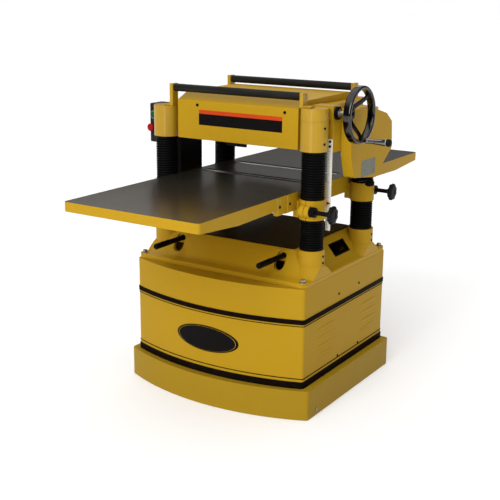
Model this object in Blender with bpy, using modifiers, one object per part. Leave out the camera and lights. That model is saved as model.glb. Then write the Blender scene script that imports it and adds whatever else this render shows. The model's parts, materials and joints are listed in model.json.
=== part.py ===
"""A 20 inch four-post thickness planer, modelled as its separate pieces.

Metres, +Z up. Stock feeds along +Y, from the infeed side at -Y. +X is the
handwheel side. The origin is on the floor, under the middle of the machine.
"""
import math

import bmesh
import bpy
from mathutils import Matrix, Vector

OBJECT_NAME = "thickness_planer"
GAP = 0.0003            # clearance between two pieces that touch

# Cabinet
PLINTH_HALF = (0.367, 0.306)
PLINTH_TOP = 0.103
PLINTH_BOW = 0.082
BODY_HALF = (0.340, 0.297)
BODY_BOW = 0.064
BODY_TOP = 0.444
SHEET = 0.003

# Columns and the clamps around them
COLUMN_X = 0.294
COLUMN_Y = 0.180
COLUMN_RADIUS = 0.024
COLUMN_BORE = 0.0190
SCREW_RADIUS = 0.010
BOSS_RADIUS = 0.045
BELLOWS_RADIUS = 0.0395
BELLOWS_BORE = 0.0315
BELLOWS_DEPTH = 0.0045
BELLOWS_CUFF = 0.006
BASE_BOSS_TOP = 0.5467
COLLAR_RADIUS = 0.043
COLLAR_BOTTOM = 0.649
COLLAR_TOP = 0.7135
HEAD_BOTTOM = 0.870
HEAD_BOSS_TOP = 0.966
PLAIN_BOSS_TOP = 0.9757

# The chain that links the four lead screws
SPROCKET_RADIUS = 0.0125
SPROCKET_Z = (0.418, 0.426)
LIFT_GEAR_RADIUS = 0.0412

# Bars that pull out of the base, to lift the machine by
LIFT_BAR_X = 0.207
LIFT_BAR_Z = 0.517
LIFT_BAR_RADIUS = 0.010
LIFT_BAR_Y = (-0.366, -0.090)

# The belt passes from cabinet to head through these openings
BELT_SLOT_X = (-0.3350, -0.3100)
BELT_SLOT_Y = (-0.0435, 0.0470)
GUARD_LOW = (-0.3365, -0.0815, 0.4586)
GUARD_HIGH = (-0.3087, 0.0485, 0.955)

# Table
TABLE_HALF_WIDTH = 0.254
TABLE_TOP = 0.738
TABLE_SKIRT = 0.678
BED_HALF_LENGTH = 0.282
EXTENSION_END = 0.750
BED_ROLLER_RADIUS = 0.019
BED_ROLLER_HALF = 0.2150
BED_JOURNAL_RADIUS = 0.0075
BED_ROLLER_Z = TABLE_TOP + 0.0004 - BED_ROLLER_RADIUS
LOCK_Y = 0.222
LOCK_Z = 0.6795
LOCK_STUD_RADIUS = 0.0075
LOCK_RING_RADIUS = 0.0165
LOCK_LUG_RADIUS = 0.0195
FEED_Y = (-0.059, 0.138)    # infeed and outfeed rollers, over the bed rollers

# Cutting and feeding
CUTTER_Y = 0.012
CUTTER_Z = 0.907
CUTTER_RADIUS = 0.038
CUTTER_HALF = 0.2535
CUTTER_SHAFT_RADIUS = 0.0120
FEED_RADIUS = 0.027
FEED_HALF = 0.2480
FEED_SHAFT_RADIUS = 0.0105
FEED_Z = 0.8953
MOTOR_Z = 0.250
MOTOR_PULLEY_RADIUS = 0.042
CUTTER_PULLEY_RADIUS = 0.032
PULLEY_X = (-0.3345, -0.3107)
PULLEY_LAND = 0.0012
PULLEY_DEPTH = 0.0065

# Gear and chain that take the cutterhead's turning to the feed rollers
FEED_DRIVE = (0.012, 0.8455)
FEED_GEAR_RADIUS = 0.0470
FEED_GEAR_BORE = 0.0083
FEED_GEAR_X = (0.3440, 0.3510)
FEED_CHAIN_X = (0.3540, 0.3605)
FEED_SPROCKET_RADIUS = 0.0155
DRIVE_SPROCKET_RADIUS = 0.0115
PINION_RADIUS = 0.0140

# Handwheel and its gears
WHEEL_Y = -0.1187
WHEEL_Z = 0.987
WHEEL_RADIUS = 0.092
WHEEL_X = 0.3800
RIM_RISE = 0.0405
RIM_HALF_DEPTH = 0.0135
RIM_HALF_WIDTH = 0.0065
SHAFT_X = 0.2725
SHAFT_RADIUS = 0.0080
HANDLE_ANGLE = math.radians(-76.0)
HANDLE_REACH = 0.085
HANDLE_X = 0.4360

# Head
CHAMBER = ((0.2800, -0.0875, 0.8620), (0.3400, 0.1340, 0.9880))
GEARBOX = ((0.2660, -0.1425), (0.3400, -0.0880))
GEARBOX_TOP = 1.0100
PAD_FACE = -0.1372
HOOD_X = (-0.2310, 0.2460)
COVER_OUTLINE = ((-0.0830, 0.9970), (-0.0830, 0.8500), (-0.0590, 0.7720),
                 (0.1120, 0.7490), (0.1710, 0.7960), (0.2300, 0.8370),
                 (0.2210, 0.9290), (0.1770, 0.9610), (0.1040, 0.9800),
                 (-0.0100, 0.9920))
COVER_X = (0.3405, 0.3780)
LEVER_PIVOT = (0.3600, 0.1020)
SWITCH = ((-0.4020, -0.1400, 0.8320), (-0.3420, -0.0700, 0.9700))
SWITCH_ARM = ((-0.3480, -0.1270, 0.8850), (-0.2903, -0.0850, 0.9350))
SCALE_X = (0.3210, 0.3390)
SCALE_Y = (-0.1390, -0.1375)
SCALE_Z = (0.6050, 0.9050)

# Return rollers: end, Y and Z of each, and the foot of each bracket
RETURN_ROLLERS = (("front", -0.187, 1.0385), ("rear", 0.166, 1.0430))
RETURN_RADIUS = 0.0130
RETURN_HALF = 0.2498
RETURN_AXLE_RADIUS = 0.0042
RETURN_AXLE_HALF = 0.2620
BRACKET_FEET = {("front", "left"): 0.9760, ("front", "right"): 1.0056,
                ("rear", "left"): 0.9760, ("rear", "right"): 1.0043}

SIDES = (("left", -1), ("right", 1))
ENDS = (("front", -1), ("rear", 1))


# --- scene, materials and object helpers -----------------------------------

def clear_scene():
    for item in list(bpy.data.objects):
        bpy.data.objects.remove(item, do_unlink=True)


def new_collection(name):
    collection = bpy.data.collections.new(name)
    bpy.context.scene.collection.children.link(collection)
    return collection


def make_material(name, colour, roughness, metallic):
    material = bpy.data.materials.new(name)
    material.use_nodes = True
    shader = material.node_tree.nodes["Principled BSDF"]
    shader.inputs["Base Color"].default_value = (*colour, 1.0)
    shader.inputs["Roughness"].default_value = roughness
    shader.inputs["Metallic"].default_value = metallic
    return material


FINISHES = {
    "gold_paint": ((0.50, 0.30, 0.03), 0.38, 0.0),
    "black_paint": ((0.012, 0.012, 0.013), 0.45, 0.0),
    "deck_paint": ((0.045, 0.042, 0.036), 0.55, 0.0),
    "cast_iron": ((0.23, 0.22, 0.21), 0.35, 1.0),
    "steel": ((0.56, 0.56, 0.55), 0.28, 1.0),
    "chrome": ((0.80, 0.80, 0.80), 0.08, 1.0),
    "aluminium": ((0.70, 0.70, 0.68), 0.35, 1.0),
    "rubber": ((0.010, 0.010, 0.010), 0.75, 0.0),
    "motor_grey": ((0.10, 0.11, 0.12), 0.5, 0.0),
    "red_plastic": ((0.50, 0.01, 0.01), 0.3, 0.0),
    "green_plastic": ((0.01, 0.25, 0.06), 0.3, 0.0),
    "black_plastic": ((0.02, 0.02, 0.022), 0.4, 0.0),
}


def link_mesh(name, mesh, collection=None):
    item = bpy.data.objects.new(name, mesh)
    (collection or TOOLS).objects.link(item)
    return item


def from_bmesh(name, bm):
    bmesh.ops.recalc_face_normals(bm, faces=bm.faces)
    mesh = bpy.data.meshes.new(name)
    bm.to_mesh(mesh)
    bm.free()
    return link_mesh(name, mesh)


def box(low, high, name="box"):
    """A box between two opposite corners."""
    low, high = Vector(low), Vector(high)
    size = high - low
    bm = bmesh.new()
    matrix = Matrix.Translation((low + high) / 2) @ Matrix.Diagonal((*size, 1.0))
    bmesh.ops.create_cube(bm, size=1.0, matrix=matrix)
    return from_bmesh(name, bm)


def rod(start, end, radius, end_radius=None, segments=16, name="rod"):
    """A cylinder, or a cone, between two points."""
    start, end = Vector(start), Vector(end)
    along = end - start
    turn = along.to_track_quat("Z", "Y").to_matrix().to_4x4()
    matrix = Matrix.Translation((start + end) / 2) @ turn
    bm = bmesh.new()
    bmesh.ops.create_cone(
        bm, cap_ends=True, segments=segments, radius1=radius,
        radius2=radius if end_radius is None else end_radius,
        depth=along.length, matrix=matrix)
    return from_bmesh(name, bm)


def turned(profile, matrix, segments=16, closed=False, name="turned"):
    """A profile of (radius, height) points, turned about local Z.

    The points run down the outer side. A closed profile comes back up the
    inner side.
    """
    mesh = bpy.data.meshes.new(name)
    count = len(profile)
    edges = [(i, i + 1) for i in range(count - 1)]
    if closed:
        edges.append((count - 1, 0))
    mesh.from_pydata([(r, 0.0, h) for r, h in profile], edges, [])
    item = link_mesh(name, mesh)
    screw = item.modifiers.new("turn", "SCREW")
    screw.steps = segments
    screw.render_steps = segments
    screw.use_merge_vertices = True
    screw.merge_threshold = 0.00001
    bake(item)
    item.data.transform(matrix)
    return item


def stepped(sections, foot):
    """The profile of a stepped shaft: (radius, top) of each length, and its foot."""
    profile = [(0.0, sections[0][1])]
    bottoms = [top for _, top in sections[1:]] + [foot]
    for (radius, top), bottom in zip(sections, bottoms):
        profile += [(radius, top), (radius, bottom)]
    return profile + [(0.0, foot)]


def along_x(x, y, z):
    """Places a turned piece with its local Z along +X."""
    return Matrix.Translation((x, y, z)) @ Matrix.Rotation(math.pi / 2, 4, "Y")


def along_z(x, y, z=0.0):
    return Matrix.Translation((x, y, z))


# Local X, Y and Z of a flat outline, for each plane that outlines lie in.
PLANES = {
    "xy": Matrix(((1, 0, 0), (0, 1, 0), (0, 0, 1))),
    "yz": Matrix(((0, 0, 1), (1, 0, 0), (0, 1, 0))),
    "xz": Matrix(((1, 0, 0), (0, 0, -1), (0, 1, 0))),
}


def plate(plane, outlines, low, high, name="plate"):
    """Extrudes flat outlines between two heights on the plane's normal.

    The first outline is the rim and any others are holes in it. On the xz
    plane, low and high are values of Y.
    """
    curve = bpy.data.curves.new(name, "CURVE")
    curve.dimensions = "2D"
    curve.fill_mode = "BOTH"
    curve.extrude = (high - low) / 2
    for outline in outlines:
        spline = curve.splines.new("POLY")
        spline.points.add(len(outline) - 1)
        for point, (a, b) in zip(spline.points, outline):
            point.co = (a, b, 0.0, 1.0)
        spline.use_cyclic_u = True
    item = bpy.data.objects.new(name, curve)
    TOOLS.objects.link(item)
    middle = (high + low) / 2
    if plane == "xz":
        middle = -middle
    item.matrix_world = (
        PLANES[plane].to_4x4() @ Matrix.Translation((0, 0, middle)))
    return mesh_from_curve(item)


def mesh_from_curve(item):
    """Swaps a curve object for its mesh, with the caps welded on."""
    bpy.context.view_layer.update()
    graph = bpy.context.evaluated_depsgraph_get()
    mesh = bpy.data.meshes.new_from_object(item.evaluated_get(graph))
    mesh.transform(item.matrix_world)
    name = item.name
    bpy.data.objects.remove(item, do_unlink=True)
    bm = bmesh.new()
    bm.from_mesh(mesh)
    bmesh.ops.remove_doubles(bm, verts=bm.verts, dist=0.000001)
    bmesh.ops.recalc_face_normals(bm, faces=bm.faces)
    bm.to_mesh(mesh)
    bm.free()
    return link_mesh(name, mesh)


def wire(points, radius, name="wire"):
    """A round bar through the given points."""
    curve = bpy.data.curves.new(name, "CURVE")
    curve.dimensions = "3D"
    curve.bevel_depth = radius
    curve.bevel_resolution = 2
    curve.use_fill_caps = True
    spline = curve.splines.new("POLY")
    spline.points.add(len(points) - 1)
    for point, place in zip(spline.points, points):
        point.co = (*place, 1.0)
    item = bpy.data.objects.new(name, curve)
    TOOLS.objects.link(item)
    return mesh_from_curve(item)


def bake(item):
    """Turns the object's modifiers into its mesh."""
    bpy.context.view_layer.update()
    graph = bpy.context.evaluated_depsgraph_get()
    mesh = bpy.data.meshes.new_from_object(item.evaluated_get(graph))
    item.modifiers.clear()
    item.data = mesh


def boolean(item, tools, operation):
    for tool in tools:
        step = item.modifiers.new(operation.lower(), "BOOLEAN")
        step.operation = operation
        step.object = tool
        bake(item)
        bpy.data.objects.remove(tool, do_unlink=True)
    return item


def cut(item, *tools):
    return boolean(item, tools, "DIFFERENCE")


def join(item, *tools):
    return boolean(item, tools, "UNION")


def overlap(item, *tools):
    return boolean(item, tools, "INTERSECT")


def bevel(item, width, segments=2):
    step = item.modifiers.new("round", "BEVEL")
    step.width = width
    step.segments = segments
    step.limit_method = "ANGLE"
    bake(item)
    return item


def finish(item, name, finish_name, origin=None):
    """Names a finished piece, gives it its own material and its origin."""
    bm = bmesh.new()
    bm.from_mesh(item.data)
    bmesh.ops.dissolve_degenerate(bm, edges=bm.edges, dist=0.000002)
    bmesh.ops.dissolve_limit(bm, angle_limit=math.radians(0.2), verts=bm.verts,
                             edges=bm.edges)
    bmesh.ops.triangulate(bm, faces=[f for f in bm.faces if len(f.verts) > 4])
    bm.to_mesh(item.data)
    bm.free()
    item.name = name
    item.data.name = name
    item.data.materials.clear()
    item.data.materials.append(make_material(name, *FINISHES[finish_name]))
    item.data.shade_smooth()
    item.data.set_sharp_from_angle(angle=math.radians(35.0))
    if origin is not None:
        item.data.transform(Matrix.Translation(-Vector(origin)))
        item.location = origin
    TOOLS.objects.unlink(item)
    PARTS.objects.link(item)
    return item


def attach(child, parent):
    bpy.context.view_layer.update()
    child.parent = parent
    child.matrix_parent_inverse = parent.matrix_world.inverted()


# --- outlines --------------------------------------------------------------

def arc(centre, radius, start, end, steps):
    """Points on an arc, angles in degrees, both ends included."""
    points = []
    for i in range(steps + 1):
        angle = math.radians(start + (end - start) * i / steps)
        points.append((centre[0] + radius * math.cos(angle),
                       centre[1] + radius * math.sin(angle)))
    return points


def rounded_rectangle(half_x, half_y, radius, steps=3, centre=(0.0, 0.0)):
    points = []
    for turn, (sx, sy) in enumerate(((1, 1), (-1, 1), (-1, -1), (1, -1))):
        corner = (centre[0] + sx * (half_x - radius),
                  centre[1] + sy * (half_y - radius))
        points += arc(corner, radius, 90 * turn, 90 * turn + 90, steps)
    return points


def obround(centre, half_width, half_height, steps=6):
    """An upright slot with round ends."""
    rise = half_height - half_width
    top = arc((centre[0], centre[1] + rise), half_width, 0, 180, steps)
    bottom = arc((centre[0], centre[1] - rise), half_width, 180, 360, steps)
    return top + bottom


def round_corners(points, radius, steps=3):
    """Rounds the corners of an outline, apart from those that are nearly flat."""
    rounded = []
    count = len(points)
    for i, point in enumerate(points):
        corner = Vector(point)
        before = (Vector(points[i - 1]) - corner).normalized()
        after = (Vector(points[(i + 1) % count]) - corner).normalized()
        half = before.angle(after) / 2
        if half > math.radians(75.0):
            rounded.append(tuple(corner))
            continue
        reach = radius / math.tan(half)
        start, end = corner + before * reach, corner + after * reach
        middle = corner + (before + after).normalized() * radius / math.sin(half)
        sweep = (start - middle).angle_signed(end - middle)
        for step in range(steps + 1):
            turn = Matrix.Rotation(-sweep * step / steps, 2)
            rounded.append(tuple(middle + turn @ (start - middle)))
    return rounded


def inset(points, distance):
    """Moves the sides of a counter-clockwise outline inwards."""
    moved = []
    count = len(points)
    for i, point in enumerate(points):
        before = (Vector(point) - Vector(points[i - 1])).normalized()
        after = (Vector(points[(i + 1) % count]) - Vector(point)).normalized()
        normal = (before.orthogonal() + after.orthogonal()).normalized()
        reach = distance / max(0.2, normal.dot(before.orthogonal()))
        moved.append(tuple(Vector(point) + normal * reach))
    return moved


def bowed_outline(half, bow, shrink=0.0, radius=0.012, steps=16):
    """A rectangle whose front bows out, counter-clockwise, corners rounded."""
    half_x, half_y = half[0] - shrink, half[1] - shrink
    sweep_radius = (half_x ** 2 + bow ** 2) / (2 * bow)
    middle = (0.0, -half_y - bow + sweep_radius)
    spread = math.degrees(math.asin(half_x / sweep_radius))
    front = arc(middle, sweep_radius, -90 - spread, -90 + spread, steps)
    return round_corners([(half_x, half_y), (-half_x, half_y), *front], radius)


def loop_around(wheels, steps=8):
    """A closed path round wheels of (centre, radius), counter-clockwise.

    Its points lie a little outside each wheel, so that the straight steps
    between them clear it.
    """
    headings = []
    for i, (centre, radius) in enumerate(wheels):
        other, other_radius = wheels[(i + 1) % len(wheels)]
        across = Vector(other) - Vector(centre)
        lean = math.asin((other_radius - radius) / across.length)
        headings.append(math.atan2(across.y, across.x) - lean)
    points = []
    for i, (centre, radius) in enumerate(wheels):
        start = headings[i - 1]
        sweep = (headings[i] - start) % (2 * math.pi)
        reach = radius / math.cos(sweep / steps / 2)
        for step in range(steps + 1):
            heading = start + sweep * step / steps
            points.append((centre[0] + reach * math.sin(heading),
                           centre[1] - reach * math.cos(heading)))
    return points


def loft(sections, name="loft"):
    """Joins outlines of equal length, given as (points, height)."""
    bm = bmesh.new()
    rings = [[bm.verts.new((x, y, z)) for x, y in points]
             for points, z in sections]
    count = len(rings[0])
    for lower, upper in zip(rings, rings[1:]):
        for i in range(count):
            j = (i + 1) % count
            bm.faces.new((lower[i], lower[j], upper[j], upper[i]))
    bm.faces.new(reversed(rings[0]))
    bm.faces.new(rings[-1])
    return from_bmesh(name, bm)


# --- cabinet ---------------------------------------------------------------

def build_plinth():
    rim = bowed_outline(PLINTH_HALF, PLINTH_BOW)
    item = plate("xy", [rim], 0.0, PLINTH_TOP)
    tray = plate("xy", [inset(rim, SHEET)], 0.004, PLINTH_TOP - SHEET)
    opening = bowed_outline(PLINTH_HALF, PLINTH_BOW, shrink=0.045)
    ledge = plate("xy", [opening], 0.050, PLINTH_TOP + 0.01)
    finish(cut(item, tray, ledge), "cabinet_plinth", "gold_paint")


def belt_slot(low, high):
    (x0, x1), (y0, y1) = BELT_SLOT_X, BELT_SLOT_Y
    return box((x0, y0, low), (x1, y1, high))


def build_body():
    rim = bowed_outline(BODY_HALF, BODY_BOW)
    low, high = PLINTH_TOP + GAP, BODY_TOP - GAP
    item = plate("xy", [rim], low, high)
    room = plate("xy", [inset(rim, SHEET)], low - 0.01, high - SHEET)
    top_opening = box((-0.26, -0.24, 0.40), (0.26, 0.24, 0.50))
    cut(item, room, top_opening, belt_slot(0.42, 0.50))
    for x in (-COLUMN_X, COLUMN_X):
        for y in (-COLUMN_Y, COLUMN_Y):
            cut(item, rod((x, y, 0.42), (x, y, 0.50), 0.014))
    finish(item, "cabinet_body", "gold_paint")


# --- base casting and what stands in it ------------------------------------

def base_shell():
    levels = ((0.340, 0.297, BODY_TOP + GAP, 0.022),
              (0.340, 0.297, 0.4560, 0.022),
              (0.337, 0.294, 0.4590, 0.022),
              (0.318, 0.270, 0.4630, 0.030),
              (0.303, 0.250, 0.4730, 0.030),
              (0.248, 0.205, 0.5400, 0.022))
    outer = loft([(rounded_rectangle(x, y, r), z) for x, y, z, r in levels])
    inside = ((0.330, 0.287, 0.4300, 0.012),
              (0.330, 0.287, 0.4500, 0.012),
              (0.296, 0.244, 0.4640, 0.020),
              (0.240, 0.197, 0.5320, 0.014))
    hollow = loft([(rounded_rectangle(x, y, r), z) for x, y, z, r in inside])
    return cut(outer, hollow)


def base_boss(x, y):
    """A column clamp whose foot flares out, trimmed to the flange."""
    foot = rod((x, y, 0.4570), (x, y, 0.4950), 0.078, BOSS_RADIUS, 24)
    overlap(foot, box((-0.3395, -0.2965, 0.44), (0.3395, 0.2965, 0.56)))
    low = BODY_TOP + GAP
    return join(foot, rod((x, y, low), (x, y, BASE_BOSS_TOP), BOSS_RADIUS,
                          segments=24))


def lift_bar_mount(item, x, sy):
    """The guide, pocket and bore that one lift bar slides in."""
    near, far = sorted((sy * 0.150, sy * 0.212))
    guide = box((x - 0.022, near, 0.497), (x + 0.022, far, 0.536))
    near, far = sorted((sy * 0.208, sy * 0.300))
    pocket = plate("xz", [obround((x, 0.5045), 0.019, 0.031)], near, far)
    bore = rod((x, sy * 0.14, LIFT_BAR_Z), (x, sy * 0.30, LIFT_BAR_Z),
               LIFT_BAR_RADIUS + GAP)
    cut(join(item, guide), pocket, bore)


def build_base():
    item = base_shell()
    for _, sx in SIDES:
        for _, sy in ENDS:
            x, y = sx * COLUMN_X, sy * COLUMN_Y
            join(item, base_boss(x, y))
            cut(item, rod((x, y, 0.43), (x, y, 0.56), COLUMN_RADIUS + GAP))
            lift_bar_mount(item, sx * LIFT_BAR_X, sy)
    side_window = box((0.22, -0.010, 0.484), (0.345, 0.094, 0.516))
    deck_opening = box((-0.17, -0.135, 0.52), (0.17, 0.135, 0.56))
    room = Vector((0.0010, 0.0010, GAP))
    guard_seat = box(Vector(GUARD_LOW) - room, Vector((*GUARD_HIGH[:2], 0.50)) + room)
    cut(item, side_window, deck_opening, belt_slot(0.43, 0.50), guard_seat)
    finish(item, "base_casting", "gold_paint")


def build_deck():
    outline = rounded_rectangle(0.243, 0.200, 0.018)
    finish(plate("xy", [outline], 0.5403, 0.5433), "deck_plate", "deck_paint")


def build_lift_bars():
    """The front pair of the bars that pull out to lift the machine by."""
    far, near = LIFT_BAR_Y
    for side, sx in SIDES:
        x = sx * LIFT_BAR_X
        inner, outer = (x, near, LIFT_BAR_Z), (x, far, LIFT_BAR_Z)
        bar = rod(inner, outer, LIFT_BAR_RADIUS)
        finish(bevel(bar, 0.0015), f"lift_bar_{side}", "black_paint", inner)


def build_columns():
    """Hollow posts, each slotted on its inner side for the lift nut."""
    for end, sy in ENDS:
        for side, sx in SIDES:
            x, y = sx * COLUMN_X, sy * COLUMN_Y
            low, high = BODY_TOP + 2 * GAP, HEAD_BOSS_TOP - 2 * GAP
            post = rod((x, y, low), (x, y, high), COLUMN_RADIUS)
            bore = rod((x, y, low - 0.01), (x, y, high + 0.01), COLUMN_BORE)
            near, far = sorted((x, x - sx * 0.03))
            slot = box((near, y - 0.006, 0.555), (far, y + 0.006, 0.865))
            finish(cut(post, bore, slot), f"column_{end}_{side}", "steel")


def build_lead_screws():
    """Each screw stands in its column and carries a sprocket at its foot.

    The front right one also carries the gear that the handwheel drives.
    """
    low, high = SPROCKET_Z
    for end, sy in ENDS:
        for side, sx in SIDES:
            driven = (end, side) == ("front", "right")
            x, y = sx * COLUMN_X, sy * COLUMN_Y
            sections = [(SCREW_RADIUS, 0.955), (SPROCKET_RADIUS, high)]
            if driven:
                sections[:1] = [(SCREW_RADIUS, 0.9965), (LIFT_GEAR_RADIUS, 0.9930),
                                (SCREW_RADIUS, 0.9810)]
            screw = turned(stepped(sections, low), along_z(x, y))
            finish(screw, f"lead_screw_{end}_{side}", "steel", (x, y, low))


def build_elevation_chain():
    """The chain that turns the four screws together."""
    corners = [(COLUMN_X, -COLUMN_Y), (COLUMN_X, COLUMN_Y),
               (-COLUMN_X, COLUMN_Y), (-COLUMN_X, -COLUMN_Y)]
    paths = [loop_around([(c, SPROCKET_RADIUS + depth) for c in corners], 6)
             for depth in (0.0028, GAP)]
    low, high = SPROCKET_Z
    chain = plate("xy", paths, low + 0.001, high - 0.001)
    finish(chain, "elevation_chain", "steel")


def build_bellows(name, x, y, low, high, folds):
    """A ribbed rubber sleeve with a plain cuff at each end."""
    pitch = (high - low - 2 * BELLOWS_CUFF) / folds
    outer = [(BELLOWS_RADIUS, high), (BELLOWS_RADIUS, high - BELLOWS_CUFF)]
    for fold in range(folds):
        z = high - BELLOWS_CUFF - pitch * fold
        outer.append((BELLOWS_RADIUS - BELLOWS_DEPTH, z - pitch * 0.5))
        outer.append((BELLOWS_RADIUS, z - pitch))
    outer.append((BELLOWS_RADIUS, low))
    inner = [(BELLOWS_BORE, low), (BELLOWS_BORE, high)]
    sleeve = turned(outer + inner, along_z(x, y), 12, closed=True)
    finish(sleeve, name, "rubber")


def build_all_bellows():
    for end, sy in ENDS:
        for side, sx in SIDES:
            x, y = sx * COLUMN_X, sy * COLUMN_Y
            build_bellows(f"bellows_upper_{end}_{side}", x, y,
                          COLLAR_TOP + GAP, HEAD_BOTTOM - GAP, 7)
            build_bellows(f"bellows_lower_{end}_{side}", x, y,
                          BASE_BOSS_TOP + GAP, COLLAR_BOTTOM - GAP, 4)


# --- drive -----------------------------------------------------------------

def pulley_sections(radius):
    """The lengths of a flanged pulley, down from its +X face."""
    low, high = PULLEY_X
    return [(radius, high), (radius - PULLEY_DEPTH, high - PULLEY_LAND),
            (radius, low + PULLEY_LAND)]


def build_motor():
    """The motor, bolted to the stand that carries it off the floor pan."""
    item = rod((-0.285, 0.0, MOTOR_Z), (-0.030, 0.0, MOTOR_Z), 0.088, segments=24)
    neck = box((-0.240, -0.045, 0.150), (-0.070, 0.045, 0.200))
    terminal_box = box((-0.200, 0.060, 0.230), (-0.110, 0.118, 0.300))
    top = box((-0.270, -0.110, 0.147), (-0.040, 0.110, 0.155))
    legs = [box((-0.270, y - 0.004, 0.0043), (-0.040, y + 0.004, 0.150))
            for y in (-0.106, 0.106)]
    join(item, neck, terminal_box, top, *legs)
    bore = rod((-0.290, 0.0, MOTOR_Z), (-0.240, 0.0, MOTOR_Z), 0.0125)
    finish(cut(item, bore), "motor", "motor_grey")


def build_belt():
    """One wide belt; its ribs are too fine to matter to the motion."""
    low, high = PULLEY_X
    top, bottom = (CUTTER_Y, CUTTER_Z), (0.0, MOTOR_Z)
    paths = []
    for depth in (0.0060, GAP):
        wheels = [(bottom, MOTOR_PULLEY_RADIUS - PULLEY_DEPTH + depth),
                  (top, CUTTER_PULLEY_RADIUS - PULLEY_DEPTH + depth)]
        paths.append(loop_around(wheels, 10))
    belt = plate("yz", paths, low + PULLEY_LAND + GAP, high - PULLEY_LAND - GAP)
    finish(belt, "drive_belt", "rubber")


def build_belt_guard():
    low, high, wall = Vector(GUARD_LOW), Vector(GUARD_HIGH), Vector([0.0015] * 3)
    item = box(low, high)
    open_foot = Vector((0.0, 0.0, 0.020))
    room = box(low + wall - open_foot, high - wall)
    shaft_hole = rod((-0.320, CUTTER_Y, CUTTER_Z), (-0.300, CUTTER_Y, CUTTER_Z),
                     0.018)
    finish(cut(item, room, shaft_hole), "belt_guard", "black_paint")


def build_cutterhead():
    """The knife drum on its shaft, with its pulley and the feed drive pinion."""
    low, high = FEED_GEAR_X
    shaft = CUTTER_SHAFT_RADIUS
    sections = [(PINION_RADIUS, high), (shaft, low), (CUTTER_RADIUS, CUTTER_HALF),
                (shaft, -CUTTER_HALF), *pulley_sections(CUTTER_PULLEY_RADIUS)]
    item = turned(stepped(sections, PULLEY_X[0]), along_x(0.0, CUTTER_Y, CUTTER_Z))
    finish(item, "cutterhead", "steel", (0.0, CUTTER_Y, CUTTER_Z))


def build_motor_pulley():
    sections = [(0.0120, -0.245), *pulley_sections(MOTOR_PULLEY_RADIUS)]
    item = turned(stepped(sections, PULLEY_X[0]), along_x(0.0, 0.0, MOTOR_Z))
    finish(item, "motor_pulley", "cast_iron", (0.0, 0.0, MOTOR_Z))


def build_feed_rollers():
    low, high = FEED_CHAIN_X
    sections = [(FEED_SPROCKET_RADIUS, high), (FEED_SHAFT_RADIUS, low),
                (FEED_RADIUS, FEED_HALF), (FEED_SHAFT_RADIUS, -FEED_HALF)]
    for name, y in zip(("infeed_roller", "outfeed_roller"), FEED_Y):
        item = turned(stepped(sections, -0.2850), along_x(0.0, y, FEED_Z))
        finish(item, name, "steel", (0.0, y, FEED_Z))


def build_feed_drive():
    """The reduction gear, and the chain from it to both feed rollers."""
    y, z = FEED_DRIVE
    inner, face = FEED_GEAR_X
    low, high = FEED_CHAIN_X
    profile = ((DRIVE_SPROCKET_RADIUS, high), (DRIVE_SPROCKET_RADIUS, face),
               (FEED_GEAR_RADIUS, face), (FEED_GEAR_RADIUS, inner),
               (FEED_GEAR_BORE, inner), (FEED_GEAR_BORE, high))
    gear = turned(profile, along_x(0.0, y, z), 24, closed=True)
    finish(gear, "feed_reduction_gear", "steel", (inner, y, z))
    wheels = [(FEED_DRIVE, DRIVE_SPROCKET_RADIUS),
              ((FEED_Y[1], FEED_Z), FEED_SPROCKET_RADIUS),
              ((FEED_Y[0], FEED_Z), FEED_SPROCKET_RADIUS)]
    near = loop_around([(c, r + GAP) for c, r in wheels])
    far = loop_around([(c, r + 0.0033) for c, r in wheels])
    chain = plate("yz", [far, near], low + 0.001, high - 0.001)
    finish(chain, "feed_chain", "steel")


# --- head ------------------------------------------------------------------

def head_frame():
    """Side walls and cross beams, joined to the four column clamps."""
    left = box((-0.290, -0.170, HEAD_BOTTOM), (-0.262, 0.170, 0.975))
    right = box((0.262, -0.170, HEAD_BOTTOM), (0.290, 0.170, 1.004))
    shelf_left = box((-0.280, -0.165, 0.9655), (-0.2330, 0.165, 0.9745))
    shelf_right = box((0.2480, -0.1695, 0.9955), (0.280, 0.165, 1.0035))
    beams = [box((-0.275, y - 0.010, 0.900), (0.275, y + 0.010, 0.9550))
             for y in (-0.158, 0.185)]
    item = join(left, shelf_left, *beams)
    return join(item, right, shelf_right)


def head_clamps():
    """X, Y and whether it carries the lift gear, for each column's clamp."""
    return [(sx * COLUMN_X, sy * COLUMN_Y, (end, side) == ("front", "right"))
            for end, sy in ENDS for side, sx in SIDES]


def gearbox_seat(item):
    """Clears the top of the geared clamp, for the gearbox cap to stand on."""
    clamp = rod((COLUMN_X, -COLUMN_Y, HEAD_BOSS_TOP), (COLUMN_X, -COLUMN_Y, 1.02),
                BOSS_RADIUS + GAP, segments=24)
    (x0, y0), (x1, y1) = GEARBOX
    seat = box((x0 - GAP, y0 - GAP, HEAD_BOSS_TOP), (x1 + GAP, y1 + GAP, 1.02))
    cut(item, clamp, seat)


def shaft_holes():
    feed_bore = FEED_SHAFT_RADIUS + GAP
    cutter_bore = CUTTER_SHAFT_RADIUS + GAP
    holes = [rod((-0.30, y, FEED_Z), (0.35, y, FEED_Z), feed_bore) for y in FEED_Y]
    ends = (-0.30, CUTTER_Y, CUTTER_Z), (0.30, CUTTER_Y, CUTTER_Z)
    return [*holes, rod(*ends, cutter_bore)]


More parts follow.
